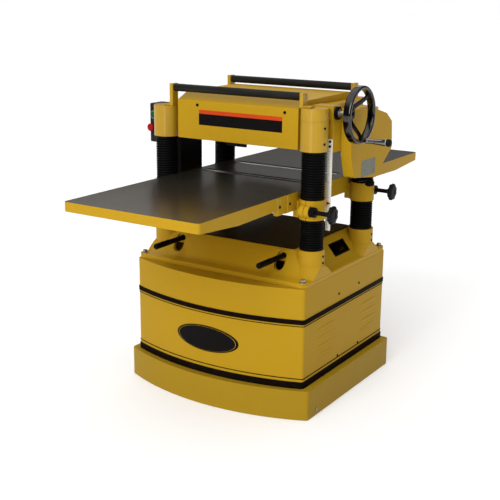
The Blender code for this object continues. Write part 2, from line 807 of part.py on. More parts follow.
def build_head():
    item = head_frame()
    for x, y, geared in head_clamps():
        top = HEAD_BOSS_TOP if geared else PLAIN_BOSS_TOP
        join(item, rod((x, y, HEAD_BOTTOM), (x, y, top), BOSS_RADIUS, segments=24))
    pad = box((0.280, PAD_FACE, 0.8620), (0.340, -0.0880, 0.9660))
    join(item, box(*CHAMBER), pad)
    cut(item, box((0.2905, -0.0800, 0.8690), (0.3500, 0.1270, 0.9810)))
    gearbox_seat(item)
    for x, y, geared in head_clamps():
        top = HEAD_BOSS_TOP + (0.01 if geared else -GAP)
        cut(item, rod((x, y, 0.86), (x, y, top), COLUMN_RADIUS + GAP))
    cut(item, *shaft_holes())
    finish(item, "head_casting", "gold_paint")


def build_gearbox_cap():
    """Covers the pair of skew gears between handwheel and lead screw."""
    low = HEAD_BOSS_TOP + GAP
    item = rod((COLUMN_X, -COLUMN_Y, low), (COLUMN_X, -COLUMN_Y, 1.0053),
               BOSS_RADIUS, segments=24)
    (x0, y0), (x1, y1) = GEARBOX
    join(item, box((x0, y0, low), (x1, y1, GEARBOX_TOP)))
    wheel_room = rod((COLUMN_X, -COLUMN_Y, 0.95), (COLUMN_X, -COLUMN_Y, 0.9985),
                     0.0425, segments=24)
    pinion_room = rod((0.2700, WHEEL_Y, WHEEL_Z), (0.3280, WHEEL_Y, WHEEL_Z), 0.0205)
    below = box((0.2700, WHEEL_Y - 0.0200, 0.95), (0.3280, WHEEL_Y + 0.0200, WHEEL_Z))
    shaft_hole = rod((0.32, WHEEL_Y, WHEEL_Z), (0.35, WHEEL_Y, WHEEL_Z), 0.0083)
    cut(item, wheel_room, pinion_room, below, shaft_hole)
    finish(item, "gearbox_cap", "gold_paint")


def cover(outline, room):
    """A cover bent from sheet: a solid outline with its room cut away."""
    low, high = HOOD_X
    item = plate("yz", [outline], low, high)
    return cut(item, plate("yz", [room], low + SHEET, high - SHEET))


def build_hood():
    """The bent cover over the feed and cutting rollers, with end plates."""
    outline = [(-0.2000, HEAD_BOTTOM), (-0.1710, HEAD_BOTTOM), (-0.1710, 0.9800),
               (0.1000, 0.9800), (0.1000, 1.0270), (-0.1500, 1.0220),
               (-0.2000, 1.0000)]
    room = [(-0.1970, 0.8500), (-0.1500, 0.8500), (-0.1500, 0.9600),
            (0.1200, 0.9600), (0.1200, 1.0240), (-0.1490, 1.0190),
            (-0.1970, 0.9980)]
    finish(cover(outline, room), "hood_cover", "gold_paint")


def build_rear_hood():
    """The chip hood behind the cutterhead, with its round dust port."""
    outline = [(0.1003, 0.9760), (0.1960, 0.9760), (0.1960, 0.8720),
               (0.2250, 0.8720), (0.2250, 0.9900), (0.1500, 1.0270),
               (0.1003, 1.0270)]
    room = [(0.1033, 0.9500), (0.1900, 0.9500), (0.1900, 0.8500),
            (0.2220, 0.8500), (0.2220, 0.9880), (0.1490, 1.0240),
            (0.1033, 1.0240)]
    item = cover(outline, room)
    centre = Vector((0.0, 0.2235, 0.9280))
    reach = Vector((0.0, 0.0500, 0.0))
    join(item, rod(centre, centre + reach, 0.0500, segments=24))
    cut(item, rod(centre - reach, centre + 2 * reach, 0.0475, segments=24))
    finish(item, "chip_hood", "gold_paint")


def build_kickback_fingers():
    """Fingers that hang from a bar and stop the stock from kicking back."""
    pivot = (0.0, -0.1250, 0.9200)
    item = rod((-0.2580, *pivot[1:]), (0.2580, *pivot[1:]), 0.006, segments=12)
    for i in range(11):
        x = -0.220 + 0.044 * i
        outline = [(-0.1310, 0.9180), (-0.1290, 0.8760), (-0.1210, 0.8760),
                   (-0.1170, 0.9180)]
        join(item, plate("yz", [outline], x - 0.006, x + 0.006))
    finish(item, "kickback_fingers", "steel", pivot)


def build_gear_cover():
    outer = round_corners(COVER_OUTLINE, 0.010)
    low, high = COVER_X
    item = plate("yz", [outer], low, high)
    room = plate("yz", [inset(outer, SHEET)], low - 0.01, high - SHEET)
    cut(item, room)
    y, z = FEED_DRIVE
    join(item, rod((0.3440, y, z), (high - 0.001, y, z), 0.0080))
    x, y = LEVER_PIVOT
    cut(item, rod((x, y, 0.73), (x, y, 0.77), 0.0063))
    finish(item, "gear_cover", "gold_paint")


def build_feed_lever():
    """The lever under the gear cover that changes the feed speed."""
    x, y = LEVER_PIVOT
    hub = rod((x, y, 0.7170), (x, y, 0.7450), 0.0175)
    shaft = rod((x, y, 0.7400), (x, y, 0.7900), 0.0060)
    arm = wire([(x, y, 0.7350), (0.3400, 0.0450, 0.7410)], 0.0042)
    finish(join(hub, shaft, arm), "feed_speed_lever", "black_paint", (x, y, 0.7450))


def build_return_rollers():
    """Rollers on the head that carry stock back to the infeed side."""
    axle = RETURN_AXLE_RADIUS
    sections = [(axle, RETURN_AXLE_HALF), (RETURN_RADIUS, RETURN_HALF),
                (axle, -RETURN_HALF)]
    profile = stepped(sections, -RETURN_AXLE_HALF)
    for end, y, z in RETURN_ROLLERS:
        item = turned(profile, along_x(0.0, y, z))
        finish(item, f"return_roller_{end}", "rubber", (0.0, y, z))
        for side, sx in SIDES:
            build_roller_bracket(end, side, sx, y, z)


def build_roller_bracket(end, side, sx, y, z):
    foot = BRACKET_FEET[end, side]
    near, far = sorted((sx * 0.2505, sx * 0.2635))
    item = box((near, y - 0.016, foot), (far, y + 0.016, z + 0.0135))
    near, far = sorted((sx * 0.2520, sx * 0.2900))
    join(item, box((near, y - 0.014, foot), (far, y + 0.014, foot + 0.006)))
    near, far = sorted((sx * 0.2400, sx * 0.2700))
    half = RETURN_AXLE_RADIUS + GAP
    slot = [(y - half, z + 0.03), *arc((y, z), half, 180, 360, 6), (y + half, z + 0.03)]
    cut(item, plate("yz", [slot], near, far))
    finish(item, f"roller_bracket_{end}_{side}", "gold_paint")


# --- handwheel and its gears -----------------------------------------------

def handle_place():
    return (WHEEL_Y + HANDLE_REACH * math.cos(HANDLE_ANGLE),
            WHEEL_Z + HANDLE_REACH * math.sin(HANDLE_ANGLE))


def spoke(angle):
    """A round arm that rises from the hub to the rim."""
    points = []
    for reach, rise in ((0.012, 0.008), (0.040, 0.014), (0.084, 0.0360)):
        points.append((WHEEL_X + rise, WHEEL_Y + reach * math.cos(angle),
                       WHEEL_Z + reach * math.sin(angle)))
    return wire(points, 0.0058)


def build_handwheel():
    bore = SHAFT_RADIUS + GAP
    hub_profile = ((bore, 0.0180), (0.0160, 0.0180), (0.0200, 0.0),
                   (0.0180, -0.0080), (bore, -0.0080))
    place = along_x(WHEEL_X, WHEEL_Y, WHEEL_Z)
    item = turned(hub_profile, place, closed=True)
    middle = (WHEEL_RADIUS - RIM_HALF_WIDTH, RIM_RISE)
    section = rounded_rectangle(RIM_HALF_WIDTH, RIM_HALF_DEPTH, 0.0055, 2, middle)
    join(item, turned(section[::-1], place, 32, closed=True))
    for i in range(3):
        join(item, spoke(HANDLE_ANGLE + 2 * math.pi * i / 3))
    y, z = handle_place()
    join(item, rod((0.4200, y, z), (HANDLE_X - 0.0005, y, z), 0.0062))
    join(item, rod((0.4300, y, z), (0.4580, y, z), 0.0045, segments=12))
    finish(item, "handwheel", "black_paint", (WHEEL_X, WHEEL_Y, WHEEL_Z))


def build_crank_handle():
    y, z = handle_place()
    profile = ((0.0, 0.0880), (0.0095, 0.0876), (0.0118, 0.0850), (0.0122, 0.0810),
               (0.0112, 0.0640), (0.0088, 0.0300), (0.0080, 0.0),
               (0.0048, 0.0), (0.0048, 0.0230), (0.0, 0.0230))
    item = turned(profile, along_x(HANDLE_X, y, z), 20)
    finish(item, "crank_handle", "chrome", (HANDLE_X, y, z))


def build_handwheel_shaft():
    """The handwheel's shaft, with its skew gear and its outer collar."""
    thin = SHAFT_RADIUS
    sections = [(thin, 0.1250), (0.0130, 0.0790), (thin, 0.0683),
                (0.0195, 0.0400), (thin, 0.0040)]
    shaft = turned(stepped(sections, 0.0), along_x(SHAFT_X, WHEEL_Y, WHEEL_Z))
    finish(shaft, "handwheel_shaft", "steel", (SHAFT_X, WHEEL_Y, WHEEL_Z))


# --- table -----------------------------------------------------------------

def lift_nut(sx, x, y):
    """The nut on the lead screw, with its arm out through the column's slot."""
    nut = rod((x, y, 0.668), (x, y, 0.698), 0.0180)
    near, far = sorted((x - sx * 0.0150, x - sx * 0.0300))
    join(nut, box((near, y - 0.005, 0.668), (far, y + 0.005, 0.698)))
    return cut(nut, rod((x, y, 0.66), (x, y, 0.71), SCREW_RADIUS + GAP))


def lock_lug(sy, x):
    """A round boss that the lock screw draws together."""
    y, half = sy * LOCK_Y, 0.0170
    boss = rod((x - half, y, LOCK_Z), (x + half, y, LOCK_Z), LOCK_LUG_RADIUS, segments=24)
    near, far = sorted((sy * 0.200, y))
    return join(boss, box((x - half + 0.0002, near, LOCK_Z - LOCK_LUG_RADIUS + 0.0005),
                          (x + half - 0.0002, far, LOCK_Z + LOCK_LUG_RADIUS - 0.0005)))


def split_for_lock(item, sy, x):
    """Cuts the clamp's slit, and the bore and seat of its lock screw."""
    near, far = sorted((sy * 0.200, sy * 0.250))
    slit = box((x - 0.0010, near, 0.60), (x + 0.0010, far, 0.75))
    y = sy * LOCK_Y
    bore = rod((x - 0.03, y, LOCK_Z), (x + 0.03, y, LOCK_Z), LOCK_STUD_RADIUS + GAP)
    seat = rod((x + 0.0172, y, LOCK_Z), (x + 0.05, y, LOCK_Z), LOCK_RING_RADIUS + 0.0005)
    cut(item, slit, bore, seat)


def collar(sx, sy):
    """A clamp round a column, with its lift nut reaching inside."""
    x, y = sx * COLUMN_X, sy * COLUMN_Y
    item = rod((x, y, COLLAR_BOTTOM), (x, y, COLLAR_TOP), COLLAR_RADIUS, segments=24)
    near, far = sorted((sx * 0.2400, sx * 0.2600))
    join(item, box((near, y - 0.030, COLLAR_BOTTOM + 0.004), (far, y + 0.030, 0.7080)))
    if sx > 0:
        join(item, lock_lug(sy, x))
    cut(item, rod((x, y, 0.60), (x, y, 0.75), COLUMN_RADIUS + GAP))
    if sx > 0:
        split_for_lock(item, sy, x)
    return join(item, lift_nut(sx, x, y))


def bed_slab():
    """The table's top, with a skirt down each side and ribs across it."""
    side, end = TABLE_HALF_WIDTH, BED_HALF_LENGTH
    item = box((-side, -end, 0.7160), (side, end, TABLE_TOP))
    for sx in (-1, 1):
        near, far = sorted((sx * (side - 0.020), sx * side))
        join(item, box((near, -end, TABLE_SKIRT), (far, end, 0.7200)))
    for y in (-end + 0.007, -0.100, -0.018, 0.097, 0.179, end - 0.007):
        join(item, box((-0.240, y - 0.007, TABLE_SKIRT + 0.002),
                       (0.240, y + 0.007, 0.7200)))
    return item


def build_table():
    item = bed_slab()
    for sx in (-1, 1):
        for sy in (-1, 1):
            x, y = sx * COLUMN_X, sy * COLUMN_Y
            notch = rod((x, y, COLLAR_TOP), (x, y, 0.75), 0.0455, segments=24)
            cut(item, notch)
            join(item, collar(sx, sy))
    lug = box((0.3080, -0.1500, 0.6880), (0.3260, -0.1417, 0.7050))
    join(item, lug)
    for y in FEED_Y:
        well = box((-0.2160, y - 0.0225, 0.700), (0.2160, y + 0.0225, 0.75))
        journal = rod((-0.2320, y, BED_ROLLER_Z), (0.2320, y, BED_ROLLER_Z),
                      BED_JOURNAL_RADIUS + GAP)
        cut(item, well, journal)
    return finish(item, "table", "cast_iron", (0.0, 0.0, TABLE_TOP))


def build_bed_rollers(table):
    z, journal = BED_ROLLER_Z, BED_JOURNAL_RADIUS
    sections = [(journal, 0.2310), (BED_ROLLER_RADIUS, BED_ROLLER_HALF),
                (journal, -BED_ROLLER_HALF)]
    for name, y in zip(("bed_roller_infeed", "bed_roller_outfeed"), FEED_Y):
        item = turned(stepped(sections, -0.2310), along_x(0.0, y, z), 24)
        attach(finish(item, name, "steel", (0.0, y, z)), table)


def extension():
    """A bolt-on leaf: a ribbed box that is deepest near mid-length."""
    start, end = BED_HALF_LENGTH + GAP, EXTENSION_END
    side, corner, wall = TABLE_HALF_WIDTH, 0.012, 0.012
    outline = [(side, start), *arc((side - corner, end - corner), corner, 0, 90, 4),
               *arc((corner - side, end - corner), corner, 90, 180, 4), (-side, start)]
    item = plate("xy", [outline], 0.6795, TABLE_TOP)
    belly = [(start + 0.050, 0.6700), (start + 0.058, 0.6960), (0.5500, 0.6925),
             (end + 0.010, 0.7075), (end + 0.010, 0.6700)]
    pocket = box((wall - side, start + wall, 0.66), (side - wall, end - wall, 0.7240))
    cut(item, plate("yz", [belly], -0.30, 0.30), pocket)
    for y in (0.400, 0.520, 0.640):
        join(item, box((0.006 - side, y - 0.004, 0.7100), (side - 0.006, y + 0.004, 0.7300)))
    return item


def build_extensions(table):
    for name in ("infeed_extension", "outfeed_extension"):
        item = extension()
        if name == "infeed_extension":
            item.data.transform(Matrix.Rotation(math.pi, 4, "Z"))
        attach(finish(item, name, "cast_iron"), table)


def build_lock_knobs(table):
    for end, sy in ENDS:
        y = sy * LOCK_Y
        stud = LOCK_STUD_RADIUS
        ring = LOCK_RING_RADIUS
        profile = ((0.0, 0.1040), (0.0240, 0.1040), (0.0300, 0.1000), (0.0300, 0.0930),
                   (0.0260, 0.0890), (0.0120, 0.0830), (stud, 0.0770), (stud, 0.0360),
                   (ring, 0.0360), (ring, 0.0176), (stud, 0.0176),
                   (stud, -0.0200), (0.0, -0.0200))
        knob = turned(profile, along_x(COLUMN_X, y, LOCK_Z))
        attach(finish(knob, f"lock_knob_{end}", "black_plastic", (0.380, y, LOCK_Z)), table)


def build_scale(table):
    low, high = zip(SCALE_X, SCALE_Y, SCALE_Z)
    finish(box(low, high), "depth_scale", "aluminium")
    outline = [(0.3150, 0.6920), (0.3300, 0.6920), (0.3400, 0.6960),
               (0.3300, 0.7000), (0.3150, 0.7000)]
    pointer = plate("xz", [outline], -0.1414, -0.1399)
    attach(finish(pointer, "scale_pointer", "red_plastic"), table)


# --- switch ----------------------------------------------------------------

def build_switch():
    """The switch box, on an arm from the head, and its two buttons."""
    case = bevel(box(*SWITCH), 0.003)
    join(case, box(*SWITCH_ARM))
    stop = (-0.3900, SWITCH[0][1], 0.8850)
    start = (-0.3850, SWITCH[0][1], 0.9300)
    depth = Vector((0.0, 0.012, 0.0))
    front = Vector((0.0, -0.010, 0.0))
    for place, radius in ((stop, 0.0083), (start, 0.0113)):
        cut(case, rod(Vector(place) + front, Vector(place) + depth, radius))
    finish(case, "switch_box", "black_plastic")
    profile = ((0.0, 0.0190), (0.0100, 0.0180), (0.0140, 0.0140), (0.0140, 0.0100),
               (0.0080, 0.0050), (0.0080, -0.0050), (0.0, -0.0050))
    place = Matrix.Translation(stop) @ Matrix.Rotation(math.pi / 2, 4, "X")
    finish(turned(profile, place, 20), "stop_button", "red_plastic", stop)
    button = rod(Vector(start) + front * 0.45, Vector(start) + depth * 0.45, 0.0110)
    finish(bevel(button, 0.001), "start_button", "green_plastic", start)


def build_cabinet():
    build_plinth()
    build_body()


def build_base_group():
    build_base()
    build_deck()
    build_lift_bars()
    build_columns()
    build_lead_screws()
    build_elevation_chain()
    build_all_bellows()


def build_drive():
    build_motor()
    build_belt()
    build_belt_guard()
    build_cutterhead()
    build_motor_pulley()
    build_feed_rollers()
    build_feed_drive()


def build_head_group():
    build_head()
    build_gearbox_cap()
    build_hood()
    build_rear_hood()
    build_kickback_fingers()
    build_gear_cover()
    build_feed_lever()
    build_return_rollers()
    build_handwheel()
    build_crank_handle()
    build_handwheel_shaft()
    build_switch()


def build_table_group():
    table = build_table()
    build_bed_rollers(table)
    build_extensions(table)
    build_lock_knobs(table)
    build_scale(table)


clear_scene()
PARTS = new_collection(OBJECT_NAME)
TOOLS = new_collection("tools")
build_cabinet()
build_base_group()
build_drive()
build_head_group()
build_table_group()
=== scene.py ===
"""The looks of the thickness planer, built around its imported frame.

Metres, +Z up, infeed side at -Y, handwheel side at +X. Pieces with a finer
surface than the frame's stand for its nodes, in the nodes' own boxes, and the
small trim that the frame leaves out is added in the frame's coordinates.
"""
import json
from math import asin, atan2, copysign, cos, pi, radians, sin, sqrt, tan

import bmesh
import bpy
from mathutils import Matrix, Vector


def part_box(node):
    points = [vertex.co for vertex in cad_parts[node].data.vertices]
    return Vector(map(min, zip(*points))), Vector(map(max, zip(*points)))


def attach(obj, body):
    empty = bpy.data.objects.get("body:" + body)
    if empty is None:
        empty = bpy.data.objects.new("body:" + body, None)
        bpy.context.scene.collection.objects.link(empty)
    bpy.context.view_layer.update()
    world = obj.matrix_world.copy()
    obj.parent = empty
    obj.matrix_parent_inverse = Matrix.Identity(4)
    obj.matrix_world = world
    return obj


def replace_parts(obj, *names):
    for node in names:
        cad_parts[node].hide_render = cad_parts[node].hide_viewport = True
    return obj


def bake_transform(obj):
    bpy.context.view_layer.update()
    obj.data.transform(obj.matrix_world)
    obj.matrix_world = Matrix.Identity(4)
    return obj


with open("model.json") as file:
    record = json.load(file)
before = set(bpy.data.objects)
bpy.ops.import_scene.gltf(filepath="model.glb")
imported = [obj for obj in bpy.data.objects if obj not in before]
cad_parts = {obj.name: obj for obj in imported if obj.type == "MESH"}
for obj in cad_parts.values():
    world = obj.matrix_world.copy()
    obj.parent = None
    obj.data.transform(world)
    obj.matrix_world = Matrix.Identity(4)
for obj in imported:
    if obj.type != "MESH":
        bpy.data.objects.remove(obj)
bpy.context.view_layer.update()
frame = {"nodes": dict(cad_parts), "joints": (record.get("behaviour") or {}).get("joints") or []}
NODES = frame["nodes"]
ENDS = ("front", "rear")
SIDES = ("left", "right")
CORNERS = [(x, y) for x in (-1, 1) for y in (-1, 1)]

PROUD = 0.0004          # how far a label stands off its backing
BADGE_HALF = (0.125, 0.045)
BADGE_Z = 0.2285
CORNER_BOLT = (0.3225, 0.2795, 0.4588)      # on the base's corner, +X and +Y
RIM_MIDDLE = 0.0485     # from the handwheel's back to the middle of its rim
RIM_HALF_DEPTH = 0.0133
TABLE_EDGE = 0.06      # how deep the table's side edge is
BED_WELL_GAP = (0.002, 0.0045)             # round a bed roller, along X and Y
# painted shade: the part of the base's side window painted near black, by axis, centre and reach
BASE_WINDOW = (("Y", 0.0435, 0.056), ("Z", 0.4995, 0.0195))    # centre and reach
DRUM_HALF = 0.2478      # half the length of a feed roller's drum
KNIVES_HALF = 0.2535    # half the length of the cutterhead's drum
BOSS_REACH = {"base": 0.0445, "head": 0.0447}
BASE_SCREW_HEIGHTS = (0.505, 0.527)
HEAD_SCREW_HEIGHTS = (0.895, 0.945)
BOSS_SEAM_Z = 0.966

FLOOR_GLOW = 0.28
ROOM_LIGHT = 0.08       # the world's strength near the horizon
OVERHEAD_LIGHT = 1.28   # and overhead
CAMERA_PLACE = (1.7464, -2.8058, 1.3581)
CAMERA_TARGET = (-0.0425, -0.0273, 0.4555)
CAMERA_ROLL = radians(0.525)


def low(node):
    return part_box(node)[0]


def high(node):
    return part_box(node)[1]


def middle(node):
    return (low(node) + high(node)) / 2


def adjusted(item, **settings):
    for key, value in settings.items():
        setattr(item, key, value)
    return item


def in_scene(name, data):
    """Adds an object that holds this data to the scene."""
    item = bpy.data.objects.new(name, data)
    bpy.context.scene.collection.objects.link(item)
    return item


def feed(links, sockets, values):
    """Sets sockets to numbers and colours, or links them to other nodes."""
    for socket, value in zip(sockets, values):
        if isinstance(value, bpy.types.NodeSocket):
            links.new(value, socket)
        else:
            socket.default_value = (*value, 1.0) if isinstance(value, tuple) else value


# --- materials ---

class Finish:
    """A material built round one Principled shader, with its node helpers."""

    def __init__(self, name, colour, roughness, metallic=0.0):
        self.material = bpy.data.materials.new(name)
        self.material.use_nodes = True
        self.tree = self.material.node_tree
        self.shader = self.tree.nodes["Principled BSDF"]
        self.set("Base Color", (*colour, 1.0))
        self.set("Roughness", roughness)
        self.set("Metallic", metallic)
        self.place = self.tree.nodes.new("ShaderNodeTexCoord").outputs["Object"]

    def set(self, socket, value):
        self.shader.inputs[socket].default_value = value

    def link(self, source, target):
        self.tree.links.new(source, target)

    def node(self, kind, **settings):
        return adjusted(self.tree.nodes.new(kind), **settings)

    def math(self, operation, first, second=0.0, third=0.0):
        item = self.node("ShaderNodeMath", operation=operation)
        feed(self.tree.links, item.inputs, (first, second, third))
        return item.outputs[0]

    def stretched(self, scale):
        item = self.node("ShaderNodeMapping")
        item.inputs["Scale"].default_value = scale
        self.link(self.place, item.inputs["Vector"])
        return item.outputs[0]

    def noise(self, scale, stretch=(1.0, 1.0, 1.0), detail=4.0):
        item = self.node("ShaderNodeTexNoise")
        item.inputs["Scale"].default_value = scale
        item.inputs["Detail"].default_value = detail
        self.link(self.stretched(stretch), item.inputs["Vector"])
        return item.outputs["Fac"]

    def ramp(self, factor, start, end):
        """Maps a narrow stretch of a factor onto 0 to 1."""
        item = self.node("ShaderNodeMapRange")
        item.inputs["From Min"].default_value = start
        item.inputs["From Max"].default_value = end
        self.link(factor, item.inputs["Value"])
        return item.outputs["Result"]

    def mix(self, factor, first, second):
        item = self.node("ShaderNodeMix", data_type="RGBA")
        sockets = (item.inputs["Factor"], item.inputs[6], item.inputs[7])
        feed(self.tree.links, sockets, (factor, first, second))
        return item.outputs[2]

    def colour_from(self, source):
        self.link(source, self.shader.inputs["Base Color"])

    def roughness_from(self, factor, smooth, rough):
        spread = self.math("MULTIPLY_ADD", factor, rough - smooth, smooth)
        self.link(spread, self.shader.inputs["Roughness"])

    def done(self, gloss, *bumps):
        """Stacks bumps, each (height, strength, depth), and gives the material."""
        self.set("Specular IOR Level", gloss)
        normal = None
        for height, strength, depth in bumps:
            item = self.node("ShaderNodeBump")
            item.inputs["Strength"].default_value = strength
            item.inputs["Distance"].default_value = depth
            self.link(height, item.inputs["Height"])
            if normal:
                self.link(normal, item.inputs["Normal"])
            normal = item.outputs["Normal"]
        if normal:
            self.link(normal, self.shader.inputs["Normal"])
        return self.material

    def edges(self, start=0.515, end=0.56):
        """How worn a spot is: most at sharp edges, fading over the faces between."""
        item = self.node("ShaderNodeNewGeometry")
        worn = self.ramp(item.outputs["Pointiness"], start, end)
        patchy = self.ramp(self.noise(60.0), 0.42, 0.62)
        return self.math("MULTIPLY", worn, patchy)


GOLD = (0.452, 0.264, 0.011)
GOLD_DEEP = (0.432, 0.248, 0.009)
GOLD_WORN = (0.6, 0.37, 0.04)
# painted shade: a darker gold that stands in for lower light on a surface
GOLD_PAINTED_SHADE = (0.255, 0.165, 0.012)
IRON = (0.125, 0.108, 0.082)
IRON_DARK = (0.08, 0.068, 0.05)
IRON_BRIGHT = (0.175, 0.158, 0.128)


def enamel(finish, painted_shade=0.0):
    """Colour of sprayed enamel: a slow drift, slightly lighter worn edges, and painted shade: a darker
    gold mixed in by the given amount.
    """
    drift = finish.ramp(finish.noise(2.6, (1.0, 1.0, 1.6)), 0.25, 0.75)
    specks = finish.ramp(finish.noise(240.0, detail=2.0), 0.62, 0.8)
    base = finish.mix(drift, GOLD, GOLD_DEEP)
    base = finish.mix(finish.math("MULTIPLY", specks, 0.06), base, GOLD_DEEP)
    # painted shade: mixes in the darker gold by the given amount
    base = finish.mix(painted_shade, base, GOLD_PAINTED_SHADE)
    return finish.mix(finish.math("MULTIPLY", finish.edges(), 0.06), base, GOLD_WORN)


def gold_paint(name="gold_enamel", cast=False, painted_shade=0.0):
    """Sprayed enamel, on smooth sheet or on a slightly grainy, glossier casting, with optional painted
    shade that darkens its gold.
    """
    finish = Finish(name, GOLD, 0.36)
    finish.colour_from(enamel(finish, painted_shade))
    smooth = 0.22 if cast else 0.32
    finish.roughness_from(finish.noise(14.0, detail=4.0), smooth, smooth + 0.07)
    peel = finish.noise(420.0, detail=2.0)
    grain = finish.noise(110.0 if cast else 45.0, detail=3.0)
    gloss, strength = (0.34, 0.05) if cast else (0.045, 0.006)
    return finish.done(gloss, (grain, strength, 0.0006), (peel, 0.03, 0.0003))


def inside_well(finish, split, roller):
    """1 inside the well that a bed roller lies in, 0 elsewhere on the table."""
    reach = (high(roller) - low(roller)) / 2
    along = finish.math("ABSOLUTE", split.outputs["X"])
    offset = finish.math("SUBTRACT", split.outputs["Y"], middle(roller).y)
    across = finish.math("ABSOLUTE", offset)
    in_length = finish.math("LESS_THAN", along, reach.x + BED_WELL_GAP[0])
    in_width = finish.math("LESS_THAN", across, reach.y + BED_WELL_GAP[1])
    return finish.math("MULTIPLY", in_length, in_width)


def table_finish():
    """Gold enamel on a casting whose top face is ground and polished."""
    finish = Finish("gold_casting_with_ground_top", GOLD, 0.34)
    split = finish.node("ShaderNodeSeparateXYZ")
    finish.link(finish.place, split.inputs[0])
    level = high("table").z - 0.0006
    ground = finish.math("GREATER_THAN", split.outputs["Z"], level)
    for roller in ("bed_roller_infeed", "bed_roller_outfeed"):
        ground = finish.math("MAXIMUM", ground, inside_well(finish, split, roller))
    lines = finish.noise(8.0, (70.0, 2.2, 1.0), detail=8.0)
    clouds = finish.ramp(finish.noise(4.0, (1.0, 0.5, 1.0), detail=5.0), 0.3, 0.75)
    iron = finish.mix(clouds, IRON, IRON_DARK)
    streaks = finish.math("MULTIPLY", finish.ramp(lines, 0.35, 0.7), 0.3)
    iron = finish.mix(streaks, iron, IRON_BRIGHT)
    finish.colour_from(finish.mix(ground, enamel(finish), iron))
    finish.link(finish.math("MULTIPLY", ground, 0.85), finish.shader.inputs["Metallic"])
    polish = finish.math("MULTIPLY_ADD", lines, 0.09, 0.19)
    paint = finish.math("MULTIPLY_ADD", finish.noise(14.0), 0.1, 0.3)
    gap = finish.math("SUBTRACT", polish, paint)
    rough = finish.math("MULTIPLY_ADD", gap, ground, paint)
    finish.link(rough, finish.shader.inputs["Roughness"])
    grain = finish.noise(110.0, detail=3.0)
    return finish.done(0.07, (grain, 0.02, 0.0004), (lines, 0.02, 0.0002))


def base_finish():
    """Gold casting with painted shade: its side window's edge and inner wall are painted near black."""
    finish = Finish("gold_base_casting", GOLD, 0.36)
    split = finish.node("ShaderNodeSeparateXYZ")
    finish.link(finish.place, split.inputs[0])
    inside = finish.math("GREATER_THAN", split.outputs["X"], 0.2)
    for axis, centre, reach in BASE_WINDOW:
        offset = finish.math("ABSOLUTE", finish.math("SUBTRACT", split.outputs[axis], centre))
        inside = finish.math("MULTIPLY", inside, finish.math("LESS_THAN", offset, reach))
    # painted shade: near black inside the window, gold enamel elsewhere
    finish.colour_from(finish.mix(inside, enamel(finish), (0.003, 0.0028, 0.0026)))
    finish.roughness_from(finish.noise(14.0, detail=4.0), 0.3, 0.4)
    grain = finish.noise(110.0, detail=3.0)
    peel = finish.noise(420.0, detail=2.0)
    return finish.done(0.1, (grain, 0.1, 0.0006), (peel, 0.05, 0.0003))


def black_paint(name="black_enamel", colour=(0.0035, 0.0032, 0.0032), roughness=0.36, gloss=0.04):
    """Black or dark enamel, with a little dust in its finish."""
    finish = Finish(name, colour, roughness)
    dust = finish.ramp(finish.noise(30.0, detail=6.0), 0.5, 0.9)
    faded = tuple(c * 1.5 + 0.0006 for c in colour)
    base = finish.mix(finish.math("MULTIPLY", dust, 0.4), colour, faded)
    worn = finish.math("MULTIPLY", finish.edges(), 0.015)
    finish.colour_from(finish.mix(worn, base, (0.1, 0.095, 0.09)))
    finish.roughness_from(finish.noise(45.0, detail=5.0), roughness - 0.07, roughness + 0.09)
    return finish.done(gloss, (finish.noise(520.0, detail=3.0), 0.1, 0.0003))


def plastic(name, colour, roughness=0.35):
    """Moulded plastic, with a fine spark-eroded grain."""
    finish = Finish(name, colour, roughness)
    shade = finish.ramp(finish.noise(22.0, detail=4.0), 0.35, 0.7)
    lighter = tuple(min(1.0, c * 1.25 + 0.004) for c in colour)
    finish.colour_from(finish.mix(shade, colour, lighter))
    finish.roughness_from(finish.noise(60.0), roughness - 0.08, roughness + 0.1)
    return finish.done(0.05, (finish.noise(900.0, detail=2.0), 0.12, 0.0003))


def metal(name, colour, roughness, stretch, marks=0.1):
    """Turned or brushed metal whose marks run across the stretched axis."""
    finish = Finish(name, colour, roughness, 1.0)
    lines = finish.noise(9.0, stretch, detail=7.0)
    stain = finish.ramp(finish.noise(14.0, detail=6.0), 0.35, 0.8)
    darker = tuple(c * 0.62 for c in colour)
    finish.colour_from(finish.mix(finish.math("MULTIPLY", stain, 0.45), colour, darker))
    finish.roughness_from(lines, max(0.04, roughness - marks), roughness + marks)
    return finish.done(0.5, (lines, 0.08, 0.0003))


def rubber():
    """Black moulded rubber with a faint bloom."""
    finish = Finish("black_rubber", (0.003, 0.003, 0.003), 0.5)
    bloom = finish.ramp(finish.noise(24.0, detail=6.0), 0.5, 0.9)
    finish.colour_from(finish.mix(bloom, (0.0022, 0.002, 0.002), (0.006, 0.0056, 0.0052)))
    finish.roughness_from(finish.noise(55.0, detail=4.0), 0.38, 0.55)
    return finish.done(0.05, (finish.noise(650.0, detail=3.0), 0.12, 0.0003))


def roller_cover():
    """The grey-black sleeve of a return roller, lightly scuffed along X."""
    finish = Finish("roller_sleeve", (0.028, 0.028, 0.024), 0.5)
    scuffs = finish.ramp(finish.noise(10.0, (1.0, 9.0, 9.0), detail=7.0), 0.45, 0.8)
    finish.colour_from(finish.mix(scuffs, (0.011, 0.0105, 0.008), (0.02, 0.019, 0.015)))
    finish.roughness_from(finish.noise(70.0), 0.36, 0.5)
    return finish.done(0.1, (finish.noise(480.0, detail=3.0), 0.1, 0.0003))


def label_finish(name, colour, streak):
    """A printed metal plate, without any print on it."""
    finish = Finish(name, colour, 0.38)
    shade = finish.ramp(finish.noise(9.0, (3.0, 3.0, 30.0), detail=5.0), 0.3, 0.75)
    finish.colour_from(finish.mix(shade, colour, streak))
    finish.roughness_from(finish.noise(80.0), 0.28, 0.46)
    return finish.done(0.04, (finish.noise(700.0, detail=2.0), 0.06, 0.0002))


